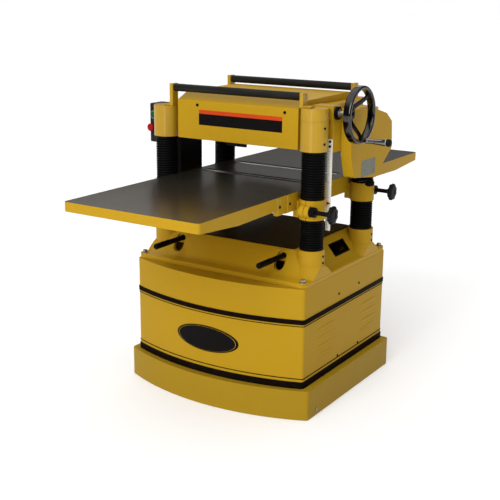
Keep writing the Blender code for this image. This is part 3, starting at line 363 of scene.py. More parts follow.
def floor_finish():
    """Even white paper that glows a little, so that its shadows stay faint."""
    finish = Finish("studio_floor", (0.75, 0.75, 0.75), 0.9)
    soft = finish.ramp(finish.noise(1.5, detail=3.0), 0.3, 0.7)
    finish.colour_from(finish.mix(soft, (0.74, 0.74, 0.74), (0.75, 0.75, 0.75)))
    finish.set("Emission Color", (1.0, 1.0, 1.0, 1.0))
    finish.set("Emission Strength", FLOOR_GLOW)
    return finish.done(0.0)


GOLD_SHEET = gold_paint()
GOLD_CAST = gold_paint("gold_casting", cast=True)
# painted shade: the plinth and cabinet gold is darkened to stand in for the lower light they get, most
# on the plinth near the floor
GOLD_PLINTH = gold_paint("gold_plinth", painted_shade=0.62)
GOLD_CABINET = gold_paint("gold_cabinet", painted_shade=0.15)
GOLD_TABLE = table_finish()
GOLD_BASE = base_finish()
BLACK = black_paint()
# painted shade: the deck plate lies in the table's shade, so its colour is painted dark brown
DECK_PAINTED_SHADE = black_paint("deck_painted_shade", (0.016, 0.011, 0.004), 0.34)
BAND = black_paint("black_trim", (0.006, 0.0035, 0.0025), 0.3, gloss=0.006)
MOTOR_GREY = black_paint("motor_grey", (0.085, 0.09, 0.095), 0.5)
STEEL_X = metal("turned_steel", (0.4, 0.385, 0.36), 0.28, (80.0, 1.0, 1.0))
STEEL_Z = metal("drawn_steel", (0.4, 0.385, 0.36), 0.28, (1.0, 1.0, 60.0))
ZINC = metal("dull_zinc", (0.34, 0.31, 0.26), 0.26, (20.0, 20.0, 20.0))
# painted reflection: three copies of one chrome, their base colours darkened to stand in for dark
# surroundings reflected in it; darkest on the wheel's arms, lightest on the crank
CHROME = metal("chrome", (0.068, 0.064, 0.062), 0.09, (5.0, 5.0, 5.0), marks=0.03)
CHROME_PAINTED_DARKER = metal("chrome_painted_darker", (0.03, 0.027, 0.026), 0.16, (5.0, 5.0, 5.0), marks=0.04)
CRANK_CHROME = metal("crank_chrome", (0.3, 0.29, 0.28), 0.12, (5.0, 5.0, 5.0), marks=0.04)
SCALE_ENAMEL = label_finish("scale_enamel", (0.9, 0.88, 0.76), (0.8, 0.78, 0.66))
IRON_PART = metal("bare_iron", (0.2, 0.195, 0.19), 0.42, (10.0, 10.0, 10.0))
RUBBER = rubber()
SLEEVE = roller_cover()
BLACK_PLASTIC = plastic("black_plastic", (0.005, 0.005, 0.0045), 0.3)
GREY_PLASTIC = plastic("grey_plastic", (0.016, 0.02, 0.018), 0.38)
RED_PLASTIC = plastic("red_plastic", (0.3, 0.006, 0.01), 0.28)
GREEN_PLASTIC = plastic("green_plastic", (0.004, 0.085, 0.04), 0.3)
LABEL_BLACK = label_finish("label_black", (0.004, 0.0032, 0.0032), (0.0065, 0.0052, 0.0052))
LABEL_ORANGE = label_finish("label_orange", (0.58, 0.062, 0.01), (0.5, 0.05, 0.009))
LABEL_GREY = label_finish("label_blue_grey", (0.225, 0.23, 0.185), (0.16, 0.165, 0.13))
FLOOR = floor_finish()


# --- shapes ---

def along_x(x, y, z):
    """Turns a profile's own Z axis to run along +X from this point."""
    return Matrix.Translation((x, y, z)) @ Matrix.Rotation(pi / 2, 4, "Y")


def along_y(x, y, z):
    """Turns a profile's own Z axis to run along -Y from this point."""
    return Matrix.Translation((x, y, z)) @ Matrix.Rotation(pi / 2, 4, "X")


def along_z(x, y, z):
    return Matrix.Translation((x, y, z))


def piece(name, bm, material, body="frame", smooth=35.0):
    """Makes a named piece from a bmesh, shaded, finished and riding."""
    bmesh.ops.remove_doubles(bm, verts=bm.verts, dist=1e-6)
    bmesh.ops.recalc_face_normals(bm, faces=bm.faces)
    mesh = bpy.data.meshes.new(name)
    bm.to_mesh(mesh)
    bm.free()
    mesh.shade_smooth()
    mesh.set_sharp_from_angle(angle=radians(smooth))
    mesh.materials.append(material)
    item = in_scene(name, mesh)
    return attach(item, body) if body else item


def ring_of(bm, points):
    return [bm.verts.new(point) for point in points]


def bridge(bm, first, second):
    count = len(first)
    for i in range(count):
        j = (i + 1) % count
        bm.faces.new((first[i], first[j], second[j], second[i]))


def add_loft(bm, rings, closed=False):
    """Skins a row of rings of points, capping both ends unless it closes."""
    made = [ring_of(bm, ring) for ring in rings]
    for first, second in zip(made, made[1:]):
        bridge(bm, first, second)
    if closed:
        bridge(bm, made[-1], made[0])
    else:
        bm.faces.new(made[0])
        bm.faces.new(list(reversed(made[-1])))
    return bm


def circle(radius, height, segments, wave=None):
    """A ring of points round Z. wave gives the radius's change by angle."""
    points = []
    for i in range(segments):
        angle = 2 * pi * i / segments
        reach = radius + (wave(angle) if wave else 0.0)
        points.append(Vector((reach * cos(angle), reach * sin(angle), height)))
    return points


def add_turned(bm, profile, place, segments=48, closed=False, soft=0.0):
    """Turns a profile of (radius, height) about an axis, its corners softened."""
    if soft:
        profile = softened(profile, soft, closed=closed)
    rings = [[place @ p for p in circle(max(r, 1e-5), h, segments)] for r, h in profile]
    return add_loft(bm, rings, closed)


def softened(profile, radius, steps=3, closed=False):
    """Rounds the corners of a profile or outline."""
    points = [Vector(p) for p in profile]
    count = len(points)
    result = []
    for i, corner in enumerate(points):
        if not closed and i in (0, count - 1):
            result.append(tuple(corner))
            continue
        before = points[i - 1] - corner
        after = points[(i + 1) % count] - corner
        reach = min(radius, before.length * 0.45, after.length * 0.45)
        start = corner + before.normalized() * reach
        end = corner + after.normalized() * reach
        for step in range(steps + 1):
            t = step / steps
            bend = start * (1 - t) ** 2 + corner * 2 * t * (1 - t) + end * t ** 2
            result.append(tuple(bend))
    return result


def turned(name, profile, place, material, body="frame", segments=48, soft=0.0008, closed=False):
    bm = add_turned(bmesh.new(), profile, place, segments, closed, soft)
    return piece(name, bm, material, body)


FACES = {
    "x": lambda a, b, h: Vector((h, a, b)),
    "y": lambda a, b, h: Vector((a, h, b)),
    "z": lambda a, b, h: Vector((a, b, h)),
}


def add_plate(bm, outline, facing, start, end, edge=0.0006, corner=0.0):
    """A flat plate across an axis, with its rim eased on both faces."""
    if corner:
        outline = softened(outline, corner, 5, closed=True)
    centre = sum((Vector(p) for p in outline), Vector((0.0, 0.0))) / len(outline)
    across = max((Vector(p) - centre).length for p in outline)
    inner = 1 - edge / across
    sign = 1 if end > start else -1
    levels = ((inner, start), (1, start + sign * edge), (1, end - sign * edge), (inner, end))
    rings = []
    for scale, height in levels:
        ring = [centre + (Vector(p) - centre) * scale for p in outline]
        rings.append([FACES[facing](p.x, p.y, height) for p in ring])
    return add_loft(bm, rings)


def rectangle(low_a, low_b, high_a, high_b):
    return [(low_a, low_b), (high_a, low_b), (high_a, high_b), (low_a, high_b)]


def plate(name, outline, facing, start, end, material, edge=0.0006, corner=0.0):
    return piece(name, add_plate(bmesh.new(), outline, facing, start, end, edge, corner), material)


def add_tube(bm, points, radii, segments=16):
    """A round bar along points, each with its own radius, ends capped."""
    rings = []
    for i, point in enumerate(points):
        before = points[max(0, i - 1)]
        after = points[min(len(points) - 1, i + 1)]
        turn = (after - before).to_track_quat("Z", "Y").to_matrix().to_4x4()
        place = Matrix.Translation(point) @ turn
        rings.append([place @ p for p in circle(radii[i], 0.0, segments)])
    return add_loft(bm, rings)


def add_screw(bm, place, radius, hex_head=False):
    """A screw head standing on a surface: a socket cap or a hexagon head."""
    height = radius * (0.75 if hex_head else 0.55)
    if hex_head:
        washer = [(radius * 0.3, 0.0), (radius * 1.32, 0.0), (radius * 1.32, radius * 0.18),
                  (radius * 0.3, radius * 0.18)]
        add_turned(bm, washer, place, 32, closed=True)
        base = radius * 0.18
        profile = [(radius, base), (radius, base + height), (radius * 0.86, base + height * 1.18)]
        add_turned(bm, profile, place, 6)
        return bm
    profile = softened([(radius, 0.0), (radius, height), (radius * 0.55, height)], radius * 0.3)
    profile += [(radius * 0.5, height * 0.98), (radius * 0.45, height * 0.35)]
    return add_turned(bm, profile, place, 24)


def screws(name, places, radius, material, body="frame", hex_head=False):
    bm = bmesh.new()
    for place in places:
        add_screw(bm, place, radius, hex_head)
    return piece(name, bm, material, body)


# --- the frame's own nodes, eased and finished ---

def smoothing_group():
    """Shades smoothly, apart from edges that turn by more than 38 degrees."""
    group = bpy.data.node_groups.new("smooth_by_edge_angle", "GeometryNodeTree")
    group.interface.new_socket("Geometry", in_out="INPUT", socket_type="NodeSocketGeometry")
    group.interface.new_socket("Geometry", in_out="OUTPUT", socket_type="NodeSocketGeometry")
    source, target, faces, edges, angle, sharp = (group.nodes.new(kind) for kind in (
        "NodeGroupInput", "NodeGroupOutput", "GeometryNodeSetShadeSmooth",
        "GeometryNodeSetShadeSmooth", "GeometryNodeInputMeshEdgeAngle", "FunctionNodeCompare"))
    edges.domain = "EDGE"
    edges.inputs["Shade Smooth"].default_value = False
    sharp.operation = "GREATER_THAN"
    sharp.inputs[1].default_value = radians(38.0)
    for output, use in ((angle.outputs["Unsigned Angle"], sharp.inputs[0]),
                        (sharp.outputs[0], edges.inputs["Selection"]),
                        (source.outputs[0], faces.inputs[0]), (faces.outputs[0], edges.inputs[0]),
                        (edges.outputs[0], target.inputs[0])):
        group.links.new(output, use)
    return group


SMOOTHING = smoothing_group()


def ease(node, material, width, segments):
    """Rounds a node's edges by modifiers and gives it its material."""
    item = NODES[node]
    for name in ("custom_normal", "sharp_face", "sharp_edge"):
        if name in item.data.attributes:
            item.data.attributes.remove(item.data.attributes[name])
    item.data.materials.clear()
    item.data.materials.append(material)
    added = item.modifiers.new
    adjusted(added("weld", "WELD"), merge_threshold=0.00002)
    adjusted(added("flat", "DECIMATE"), decimate_type="DISSOLVE", angle_limit=radians(0.4))
    if width:
        adjusted(added("bevel", "BEVEL"), width=width, segments=segments, limit_method="ANGLE",
                 angle_limit=radians(32.0))
    adjusted(added("shade", "NODES"), node_group=SMOOTHING)
    adjusted(added("normals", "WEIGHTED_NORMAL"), keep_sharp=True)


EASED = (
    (GOLD_CAST, 0.0022, 3, ("head_casting", "gearbox_cap")),
    (GOLD_CAST, 0.0016, 2, [f"roller_bracket_{end}_{side}" for end in ENDS for side in SIDES]),
    (GOLD_BASE, 0.0022, 3, ("base_casting",)),
    (GOLD_PLINTH, 0.003, 3, ("cabinet_plinth",)),
    (GOLD_CABINET, 0.003, 3, ("cabinet_body",)),
    (GOLD_SHEET, 0.0014, 2, ("hood_cover", "chip_hood", "gear_cover")),
    (GOLD_TABLE, 0.0012, 2, ("table", "infeed_extension", "outfeed_extension")),
    (STEEL_Z, 0.0, 2, [f"{part}_{end}_{side}" for part in ("column", "lead_screw")
                       for end in ENDS for side in SIDES]),
    (STEEL_X, 0.0004, 2, ("feed_reduction_gear", "handwheel_shaft", "kickback_fingers")),
    (IRON_PART, 0.0, 2, ("elevation_chain", "feed_chain", "motor_pulley")),
    (RUBBER, 0.0, 2, ("drive_belt",)),
    (MOTOR_GREY, 0.002, 2, ("motor",)),
    (BLACK, 0.0016, 2, ("belt_guard",)),
    (DECK_PAINTED_SHADE, 0.0008, 2, ("deck_plate",)),
    (GREY_PLASTIC, 0.0016, 2, ("switch_box",)),
    (SCALE_ENAMEL, 0.0003, 2, ("depth_scale",)),
    (RED_PLASTIC, 0.0003, 2, ("scale_pointer",)),
)


def finish_frame_nodes():
    for material, width, segments, nodes in EASED:
        for node in nodes:
            ease(node, material, width, segments)


# --- cabinet ---

class Bow:
    """The outline of a cabinet shell: a box whose front bows outwards."""

    CORNER = 0.012

    def __init__(self, node):
        self.half_x = high(node).x
        self.back = high(node).y
        self.rise = -low(node).y - self.back
        self.radius = (self.half_x ** 2 + self.rise ** 2) / (2 * self.rise)
        self.centre = -self.back - self.rise + self.radius

    def front(self, x):
        """The front face's Y at this X."""
        return self.centre - sqrt(self.radius ** 2 - x * x)

    def outline(self, steps=48):
        spread = asin(self.half_x / self.radius)
        front = []
        for i in range(steps + 1):
            angle = -pi / 2 - spread + 2 * spread * i / steps
            front.append((self.radius * cos(angle), self.centre + self.radius * sin(angle)))
        corners = [(self.half_x, self.back), (-self.half_x, self.back)]
        return round_corners([*corners, *front], self.CORNER)


def round_corners(points, radius, steps=5):
    """Rounds the true corners of a counter-clockwise outline with arcs."""
    rounded = []
    count = len(points)
    for i, point in enumerate(points):
        corner = Vector(point)
        before = (Vector(points[i - 1]) - corner).normalized()
        after = (Vector(points[(i + 1) % count]) - corner).normalized()
        half = before.angle(after) / 2
        if half > radians(75.0):
            rounded.append(tuple(corner))
            continue
        start = corner + before * radius / tan(half)
        end = corner + after * radius / tan(half)
        pivot = corner + (before + after).normalized() * radius / sin(half)
        sweep = (start - pivot).angle_signed(end - pivot)
        for step in range(steps + 1):
            turn = Matrix.Rotation(-sweep * step / steps, 2)
            rounded.append(tuple(pivot + turn @ (start - pivot)))
    return rounded


def add_band(bm, outline, foot, top, proud, edge=0.0008):
    """A strip that wraps round an outline, standing proud of it."""
    section = [(-0.001, foot), (proud - edge, foot), (proud, foot + edge),
               (proud, top - edge), (proud - edge, top), (-0.001, top)]
    rings = []
    count = len(outline)
    for i, point in enumerate(outline):
        along = Vector(outline[(i + 1) % count]) - Vector(outline[i - 1])
        out = Vector((along.y, -along.x)).normalized()
        rings.append([Vector((point[0] + out.x * d, point[1] + out.y * d, z))
                      for d, z in section])
    return add_loft(bm, rings, closed=True)


def build_bands():
    bow = Bow("cabinet_body")
    foot, top = low("cabinet_body").z, high("cabinet_body").z
    for name, start, end in (("lower_trim_band", foot + 0.0002, foot + 0.023),
                             ("upper_trim_band", top - 0.119, top - 0.103)):
        piece(name, add_band(bmesh.new(), bow.outline(), start, end, 0.0026), BAND)
    lines = add_band(bmesh.new(), bow.outline(), foot + 0.0325, foot + 0.035, 0.0016, 0.0004)
    add_band(lines, bow.outline(), top - 0.1262, top - 0.1242, 0.0016, 0.0004)
    piece("trim_lines", lines, BAND)


def add_badge(bm, scale, lift, rim):
    """An oval plate that follows the bowed front, with a rounded rim."""
    bow = Bow("cabinet_body")
    steps = 72
    rings = []
    levels = [(1.0, -0.0004), (1.0, lift - rim), (1.0 - rim / BADGE_HALF[1], lift)]
    levels += [(share, lift) for share in (0.93, 0.7, 0.45, 0.2, 0.02)]
    for share, rise in levels:
        ring = []
        for i in range(steps):
            angle = 2 * pi * i / steps
            x = BADGE_HALF[0] * scale * share * cos(angle)
            z = BADGE_Z + BADGE_HALF[1] * scale * share * sin(angle)
            ring.append(Vector((x, bow.front(x) - rise, z)))
        rings.append(ring)
    return add_loft(bm, rings)


def build_badge():
    """A dark oval rim, a thin gold line inside it and a blank dark field."""
    for name, scale, lift, rim, material in (("badge_rim", 1.0, 0.003, 0.001, BLACK),
                                             ("badge_line", 0.935, 0.0034, 0.0003, GOLD_SHEET),
                                             ("badge_field", 0.923, 0.0038, 0.0003, LABEL_BLACK)):
        piece(name, add_badge(bmesh.new(), scale, lift, rim), material)


def add_louvre(bm, facing_x, y, z, length, height, rise):
    """A pressed louvre: a ridge across X that swells along its length."""
    rings = []
    steps = 10
    for i in range(13):
        t = i / 12
        swell = sin(pi * t) ** 0.5
        ring = []
        for step in range(steps + 1):
            angle = pi * step / steps
            out = rise * swell * sin(angle) ** 0.8
            up = height * (0.5 - step / steps)
            ring.append(Vector((facing_x + out, y + length * (t - 0.5), z + up * (0.35 + 0.65 * swell))))
        ring.append(Vector((facing_x - 0.0008, y + length * (t - 0.5), z - height * 0.5)))
        ring.append(Vector((facing_x - 0.0008, y + length * (t - 0.5), z + height * 0.5)))
        rings.append(ring)
    return add_loft(bm, rings)


def build_side_louvres():
    """Two columns of four pressed louvres on each side of the cabinet."""
    for name, wall, rise in (("side_louvres_right", high("cabinet_body").x, 0.0026),
                             ("side_louvres_left", low("cabinet_body").x, -0.0026)):
        bm = bmesh.new()
        for y in (-0.143, 0.17):
            for row in range(4):
                add_louvre(bm, wall, y, 0.278 - 0.031 * row, 0.13, 0.015, rise)
        piece(name, bm, GOLD_CABINET)


def build_rear_door():
    """A louvred door on the flat back, with two quarter-turn latches."""
    wall = high("cabinet_body").y
    panel = rectangle(-0.235, 0.144, 0.235, 0.31)
    plate("rear_door", panel, "y", wall + 0.0002, wall + 0.0022, GOLD_SHEET, edge=0.0009, corner=0.012)
    bm = bmesh.new()
    for row in range(4):
        add_louvre(bm, 0.0, 0.0, 0.266 - 0.026 * row, 0.22, 0.014, 0.0035)
    turn = Matrix.Translation((0.0, wall + 0.0022, 0.0)) @ Matrix.Rotation(pi / 2, 4, "Z")
    bmesh.ops.transform(bm, matrix=turn, verts=bm.verts)
    piece("rear_door_louvres", bm, GOLD_SHEET)
    bm = bmesh.new()
    latch = [(0.011, 0.0), (0.011, 0.003), (0.008, 0.0045), (0.0, 0.0045)]
    for x in (-0.21, 0.21):
        place = Matrix.Translation((x, wall + 0.0022, 0.227)) @ Matrix.Rotation(-pi / 2, 4, "X")
        add_turned(bm, latch, place, 32, soft=0.001)
        slot = rectangle(x - 0.0012, 0.22, x + 0.0012, 0.234)
        add_plate(bm, slot, "y", wall + 0.004, wall + 0.0068, 0.0004)
    piece("rear_door_latches", bm, ZINC)


def build_cabinet_screws():
    wall = high("cabinet_body").x
    places = [along_x(wall, y, z) for y, z in ((-0.06, 0.369), (0.09, 0.369),
                                               (-0.057, 0.1435), (0.097, 0.1435))]
    screws("starter_screws", places, 0.0042, BLACK)
    plinth = high("cabinet_plinth").x
    screws("plinth_screw", [along_x(plinth, -0.248, 0.021)], 0.0062, ZINC)
    bolt_x, bolt_y, shelf = CORNER_BOLT
    spots = [along_z(sx * bolt_x, sy * bolt_y, shelf) for sx, sy in CORNERS]
    pads = bmesh.new()
    for place in spots:
        pad = [(0.0, -0.001), (0.0165, -0.001), (0.0155, 0.0022), (0.0, 0.0022)]
        add_turned(pads, pad, place, 40, soft=0.001)
    piece("corner_bolt_pads", pads, GOLD_CAST)
    lift = Matrix.Translation((0.0, 0.0, 0.0022))
    screws("corner_bolts", [lift @ place for place in spots], 0.0088, ZINC, hex_head=True)


def build_starter():
    """The starter's enclosure, on the cabinet's inside wall behind its four screws."""
    wall = high("cabinet_body").x - 0.0035
    outline = rectangle(-0.075, 0.13, 0.11, 0.385)
    plate("starter_enclosure", outline, "x", wall - 0.06, wall, GREY_PLASTIC, edge=0.002, corner=0.01)


def build_cabinet_trim():
    build_bands()
    build_badge()
    build_side_louvres()
    build_rear_door()
    build_cabinet_screws()
    build_starter()


# --- lift: bellows, bars, wheel ---

def round_about_x(node, x=0.0):
    """A place on a round node's own X axis, and its radius."""
    centre = middle(node)
    return along_x(x, centre.y, centre.z), (high(node).z - low(node).z) / 2


def bellows_profile(foot, top, radius, ribs):
    """A ribbed sleeve with a plain cuff at each end, outside then inside."""
    cuff = 0.007
    wall = 0.0022
    steps = ribs * 6
    outer = [(radius - 0.0006, foot), (radius, foot + 0.0006), (radius, foot + cuff)]
    for i in range(1, steps):
        t = i / steps
        dip = 0.5 - 0.5 * cos(2 * pi * ribs * t)
        outer.append((radius - 0.0036 * dip ** 1.6, foot + cuff + (top - foot - 2 * cuff) * t))
    outer += [(radius, top - cuff), (radius, top - 0.0006), (radius - 0.0006, top)]
    inner = [(radius - 0.0045 - wall, top), (radius - 0.0045 - wall, foot)]
    return outer + inner


def build_bellows(name, ribs):
    """A ribbed sleeve between the frame and the table, its ribs evenly spaced."""
    centre = middle(name)
    foot, top = low(name).z, high(name).z
    radius = (high(name).x - low(name).x) / 2 - 0.0001
    profile = bellows_profile(foot, top, radius, ribs)
    bm = add_turned(bmesh.new(), profile, along_z(centre.x, centre.y, 0.0), 48, closed=True)
    sleeve = piece(f"{name}_sleeve", bm, RUBBER, None, smooth=50.0)
    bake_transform(sleeve)
    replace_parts(sleeve, name)


def build_all_bellows():
    for end in ENDS:
        for side in SIDES:
            name = f"bellows_upper_{end}_{side}"
            build_bellows(name, 17)
            name = f"bellows_lower_{end}_{side}"
            build_bellows(name, 11)


def add_lift_bar(bm, x, inner, outer, z, radius):
    """A round bar that ends in a slightly thicker grip."""
    sign = 1 if outer > inner else -1
    length = abs(outer - inner)
    place = Matrix.Translation((x, inner, z)) @ Matrix.Rotation(-sign * pi / 2, 4, "X")
    profile = [(0.0, 0.0), (radius - 0.001, 0.0), (radius - 0.001, length - 0.075),
               (radius, length - 0.073), (radius, length - 0.003),
               (radius - 0.002, length), (0.0, length)]
    return add_turned(bm, profile, place, 32, soft=0.0012)


def build_lift_bars():
    for side in SIDES:
        node = f"lift_bar_{side}"
        bottom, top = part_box(node)
        radius = (top.z - bottom.z) / 2
        x, z = middle(node).x, middle(node).z
        bm = add_lift_bar(bmesh.new(), x, top.y, bottom.y, z, radius)
        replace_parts(piece(f"{node}_rod", bm, BLACK, node), node)
        bm = add_lift_bar(bmesh.new(), x, -top.y, -bottom.y - 0.01, z, radius)
        piece(f"rear_lift_bar_{side}", bm, BLACK)


def build_wheel():
    """A chromed wheel: a deep rounded rim, three arms and a stepped hub."""
    bottom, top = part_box("handwheel")
    shaft, crank = middle("handwheel_shaft"), middle("crank_handle")
    radius = (top.y - bottom.y) / 2
    place = along_x(bottom.x, shaft.y, shaft.z)
    foot = RIM_MIDDLE - RIM_HALF_DEPTH
    face = RIM_MIDDLE + RIM_HALF_DEPTH
    section = [(radius - 0.0132, foot), (radius - 0.0003, foot),
               (radius - 0.0003, face), (radius - 0.0132, face)]
    bm = add_turned(bmesh.new(), softened(section, 0.0058, 6, closed=True), place, 96, closed=True)
    rim = piece("handwheel_rim", bm, CHROME, "handwheel")
    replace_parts(rim, "handwheel")
    bm = bmesh.new()
    hub = [(0.0084, 0.0), (0.0175, 0.0), (0.0185, 0.006), (0.0205, 0.012), (0.0165, 0.025),
           (0.0084, 0.026)]
    add_turned(bm, hub, place, 48, closed=True, soft=0.0015)
    start = atan2(crank.z - shaft.z, crank.y - shaft.y)
    for i in range(3):
        add_spoke(bm, shaft, bottom.x, start + 2 * pi * i / 3, radius)
    boss = [(0.0, -0.01), (0.006, -0.01), (0.006, 0.0018), (0.0, 0.0018)]
    add_turned(bm, boss, along_x(bottom.x + face, crank.y, crank.z), 32)
    piece("handwheel_arms", bm, CHROME_PAINTED_DARKER, "handwheel")
    cap = [(0.0, 0.0), (0.0076, 0.0), (0.0076, 0.0268), (0.0062, 0.0285), (0.0, 0.0285)]
    turned("handwheel_nut", cap, place, BLACK, "handwheel", 32, 0.0008)


def add_spoke(bm, shaft, hub_x, angle, radius):
    """A flat tapered arm, curved from the hub out to the rim."""
    rings = []
    across = Vector((0.0, -sin(angle), cos(angle)))
    for i in range(11):
        t = i / 10
        reach = 0.012 + (radius - 0.012 - 0.008) * t
        rise = 0.012 + (RIM_MIDDLE - 0.014) * (t * t * (3 - 2 * t))
        centre = Vector((hub_x + rise, shaft.y + reach * cos(angle), shaft.z + reach * sin(angle)))
        half_width = 0.0095 - 0.0025 * t
        thick = 0.0052 - 0.0012 * t
        ring = []
        for k in range(16):
            turn = 2 * pi * k / 16
            c, s = cos(turn), sin(turn)
            flat = copysign(abs(c) ** 0.6, c)
            tall = copysign(abs(s) ** 0.6, s)
            ring.append(centre + across * half_width * flat + Vector((thick * tall, 0.0, 0.0)))
        rings.append(ring)
    return add_loft(bm, rings)


def build_crank():
    """A tapered chromed grip that widens towards a dark rounded end cap."""
    bottom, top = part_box("crank_handle")
    length = top.x - bottom.x
    place, radius = round_about_x("crank_handle", bottom.x)
    cap_foot = length - 0.015
    grip = [(0.0048, 0.0002), (0.0079, 0.0002), (0.0088, 0.004), (0.008, 0.01), (0.0086, 0.03),
            (0.0102, 0.05), (radius - 0.0009, cap_foot - 0.003), (radius - 0.0012, cap_foot),
            (0.0048, cap_foot)]
    sleeve = turned("crank_grip", grip, place, CRANK_CHROME, "crank_handle", 48, 0.002, closed=True)
    cap = [(0.0, cap_foot), (radius - 0.0014, cap_foot), (radius - 0.0002, cap_foot + 0.0015),
           (radius - 0.0002, length - 0.006), (radius - 0.003, length - 0.0012), (0.0, length - 0.0002)]
    turned("crank_cap", cap, place, BLACK_PLASTIC, "crank_handle", 48, 0.002)
    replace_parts(sleeve, "crank_handle")


def add_lobed_knob(bm, place, radius, foot, top, lobes=8):
    """A star knob: a disc whose rim has shallow finger hollows."""
    def wave(angle):
        return -0.0036 * (0.5 + 0.5 * cos(lobes * angle)) ** 1.5

    levels = [(radius * 0.42, foot), (radius * 0.8, foot), (radius * 0.96, foot + 0.0022),
              (radius, foot + 0.005), (radius, top - 0.005), (radius * 0.95, top - 0.0018),
              (radius * 0.82, top), (radius * 0.4, top), (radius * 0.36, top - 0.0015),
              (radius * 0.02, top - 0.0015)]
    rings = []
    for reach, height in levels:
        share = max(0.0, (reach / radius - 0.45) / 0.55)
        ring = circle(reach, height, 96, lambda a, s=share: wave(a) * s)
        rings.append([place @ p for p in ring])
    return add_loft(bm, rings)


def build_lock_knobs():
    for end in ENDS:
        node = f"lock_knob_{end}"
        bottom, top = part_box(node)
        length = top.x - bottom.x
        place, radius = round_about_x(node, bottom.x)
        bm = add_lobed_knob(bmesh.new(), place, radius, length - 0.0148, length - 0.0002)
        neck = [(0.0, length - 0.028), (0.0076, length - 0.028), (0.01, length - 0.022),
                (0.0125, length - 0.0143), (0.0, length - 0.0143)]
        add_turned(bm, neck, place, 32, soft=0.002)
        knob = piece(f"{node}_star", bm, BLACK_PLASTIC, node)
        stud = [(0.0, 0.0), (0.0072, 0.0), (0.0072, 0.0377), (0.0163, 0.0377),
                (0.0163, 0.0558), (0.0072, 0.0558), (0.0072, length - 0.027), (0.0, length - 0.027)]
        turned(f"{node}_stud", stud, place, BLACK, node, 32, 0.001)
        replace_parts(knob, node)


def build_pointer_and_scale():
    """The scale's divisions, longer at every fifth and tenth, and the screws."""
    bottom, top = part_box("depth_scale")
    face = bottom.y
    bm = bmesh.new()
    start, last, pitch = bottom.z + 0.01, top.z - 0.034, 0.005
    for i in range(int((last - start) / pitch) + 1):
        width = 0.0095 if i % 10 == 0 else (0.007 if i % 5 == 0 else 0.0045)
        z = start + pitch * i
        line = rectangle(bottom.x + 0.0012, z - 0.00035, bottom.x + 0.0012 + width, z + 0.00035)
        add_plate(bm, line, "y", face, face - 0.00012, 0.00004)
    piece("scale_divisions", bm, LABEL_BLACK)
    x = (bottom.x + top.x) / 2
    places = [along_y(x, face, top.z - d) for d in (0.008, 0.024)]
    screws("scale_screws", places, 0.0042, BLACK)
    tip = low("scale_pointer")
    screws("pointer_screw", [along_y(tip.x + 0.006, tip.y, middle("scale_pointer").z)], 0.0026,
           ZINC, "table")


def build_lift_trim():
    build_all_bellows()
    build_lift_bars()
    build_wheel()
    build_crank()
    build_lock_knobs()
    build_pointer_and_scale()


# --- rollers and cutter ---

def build_return_rollers():
    for end in ENDS:
        node = f"return_roller_{end}"
        place, radius = round_about_x(node)
        reach = high(node).x
        half = reach - 0.0122
        core = [(0.0, -reach), (0.0042, -reach), (0.0042, reach), (0.0, reach)]
        turned(f"{node}_axle", core, place, STEEL_X, node, 24, 0.0006)
        shell = [(0.0043, -half), (radius, -half), (radius, half), (0.0043, half)]
        bm = add_turned(bmesh.new(), softened(shell, 0.0014), place, 48, closed=True)
        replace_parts(piece(f"{node}_sleeve", bm, SLEEVE, node), node)


def build_feed_rollers():
    """A serrated infeed roller and a smooth outfeed roller."""
    for node, teeth in (("infeed_roller", 36), ("outfeed_roller", 0)):
        place, radius = round_about_x(node)
        bm = bmesh.new()
        rings = []
        for i in range(25):
            height = -DRUM_HALF + 2 * DRUM_HALF * i / 24
            twist = radians(40.0) * i / 24

            def wave(angle, twist=twist, teeth=teeth):
                return -0.0011 * (0.5 + 0.5 * cos(teeth * (angle + twist))) if teeth else 0.0
            rings.append([place @ p for p in circle(radius, height, 144 if teeth else 64, wave)])
        add_loft(bm, rings)
        left = low(node).x
        shaft = [(0.0, left), (0.0105, left), (0.0105, 0.3538), (0.0, 0.3538)]
        add_turned(bm, shaft, place, 32)
        sprocket(bm, place, 0.0155, 0.354, 0.3605, 12)
        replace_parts(piece(f"{node}_drum", bm, STEEL_X, node), node)


def sprocket(bm, place, radius, foot, top, teeth):
    """A small toothed wheel on a shaft."""
    def wave(angle):
        return -0.0022 * (0.5 + 0.5 * cos(teeth * angle)) ** 0.7
    rings = [[place @ p for p in circle(radius, h, teeth * 8, wave)] for h in (foot, top)]
    return add_loft(bm, rings)


def build_bed_rollers():
    for node in ("bed_roller_infeed", "bed_roller_outfeed"):
        place, radius = round_about_x(node)
        reach, half, stub = high(node).x, 0.215, 0.0075
        profile = [(0.0, low(node).x), (stub, low(node).x), (stub, -half), (radius, -half),
                   (radius, half), (stub, half), (stub, reach), (0.0, reach)]
        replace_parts(turned(f"{node}_drum", profile, place, STEEL_X, node, 64), node)


def build_cutterhead():
    """A drum with three slots, and a knife's edge beside each."""
    node = "cutterhead"
    bottom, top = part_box(node)
    place, radius = round_about_x(node)
    outline = []
    for i in range(3):
        start = 120.0 * i
        for step in range(15):
            angle = radians(start + 22.0 + 96.0 * step / 14)
            outline.append((radius * 0.97 * cos(angle), radius * 0.97 * sin(angle)))
        for share, turn in ((0.72, 119.0), (0.7, 136.0), (1.0, 140.0), (1.0, 141.0)):
            angle = radians(start + turn)
            outline.append((radius * share * cos(angle), radius * share * sin(angle)))
    rings = [[place @ Vector((x, y, h)) for x, y in outline] for h in (-KNIVES_HALF, KNIVES_HALF)]
    bm = add_loft(bmesh.new(), rings)
    shaft = [(0.0, bottom.x), (0.0255, bottom.x), (0.0255, bottom.x + 0.0012),
             (0.0255, -0.3107), (0.012, -0.3107), (0.012, 0.3436), (0.014, 0.3436),
             (0.014, top.x), (0.0, top.x)]
    add_turned(bm, shaft, place, 48)
    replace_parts(piece("cutter_drum", bm, STEEL_X, node), node)


# --- head: labels, screws, switch ---

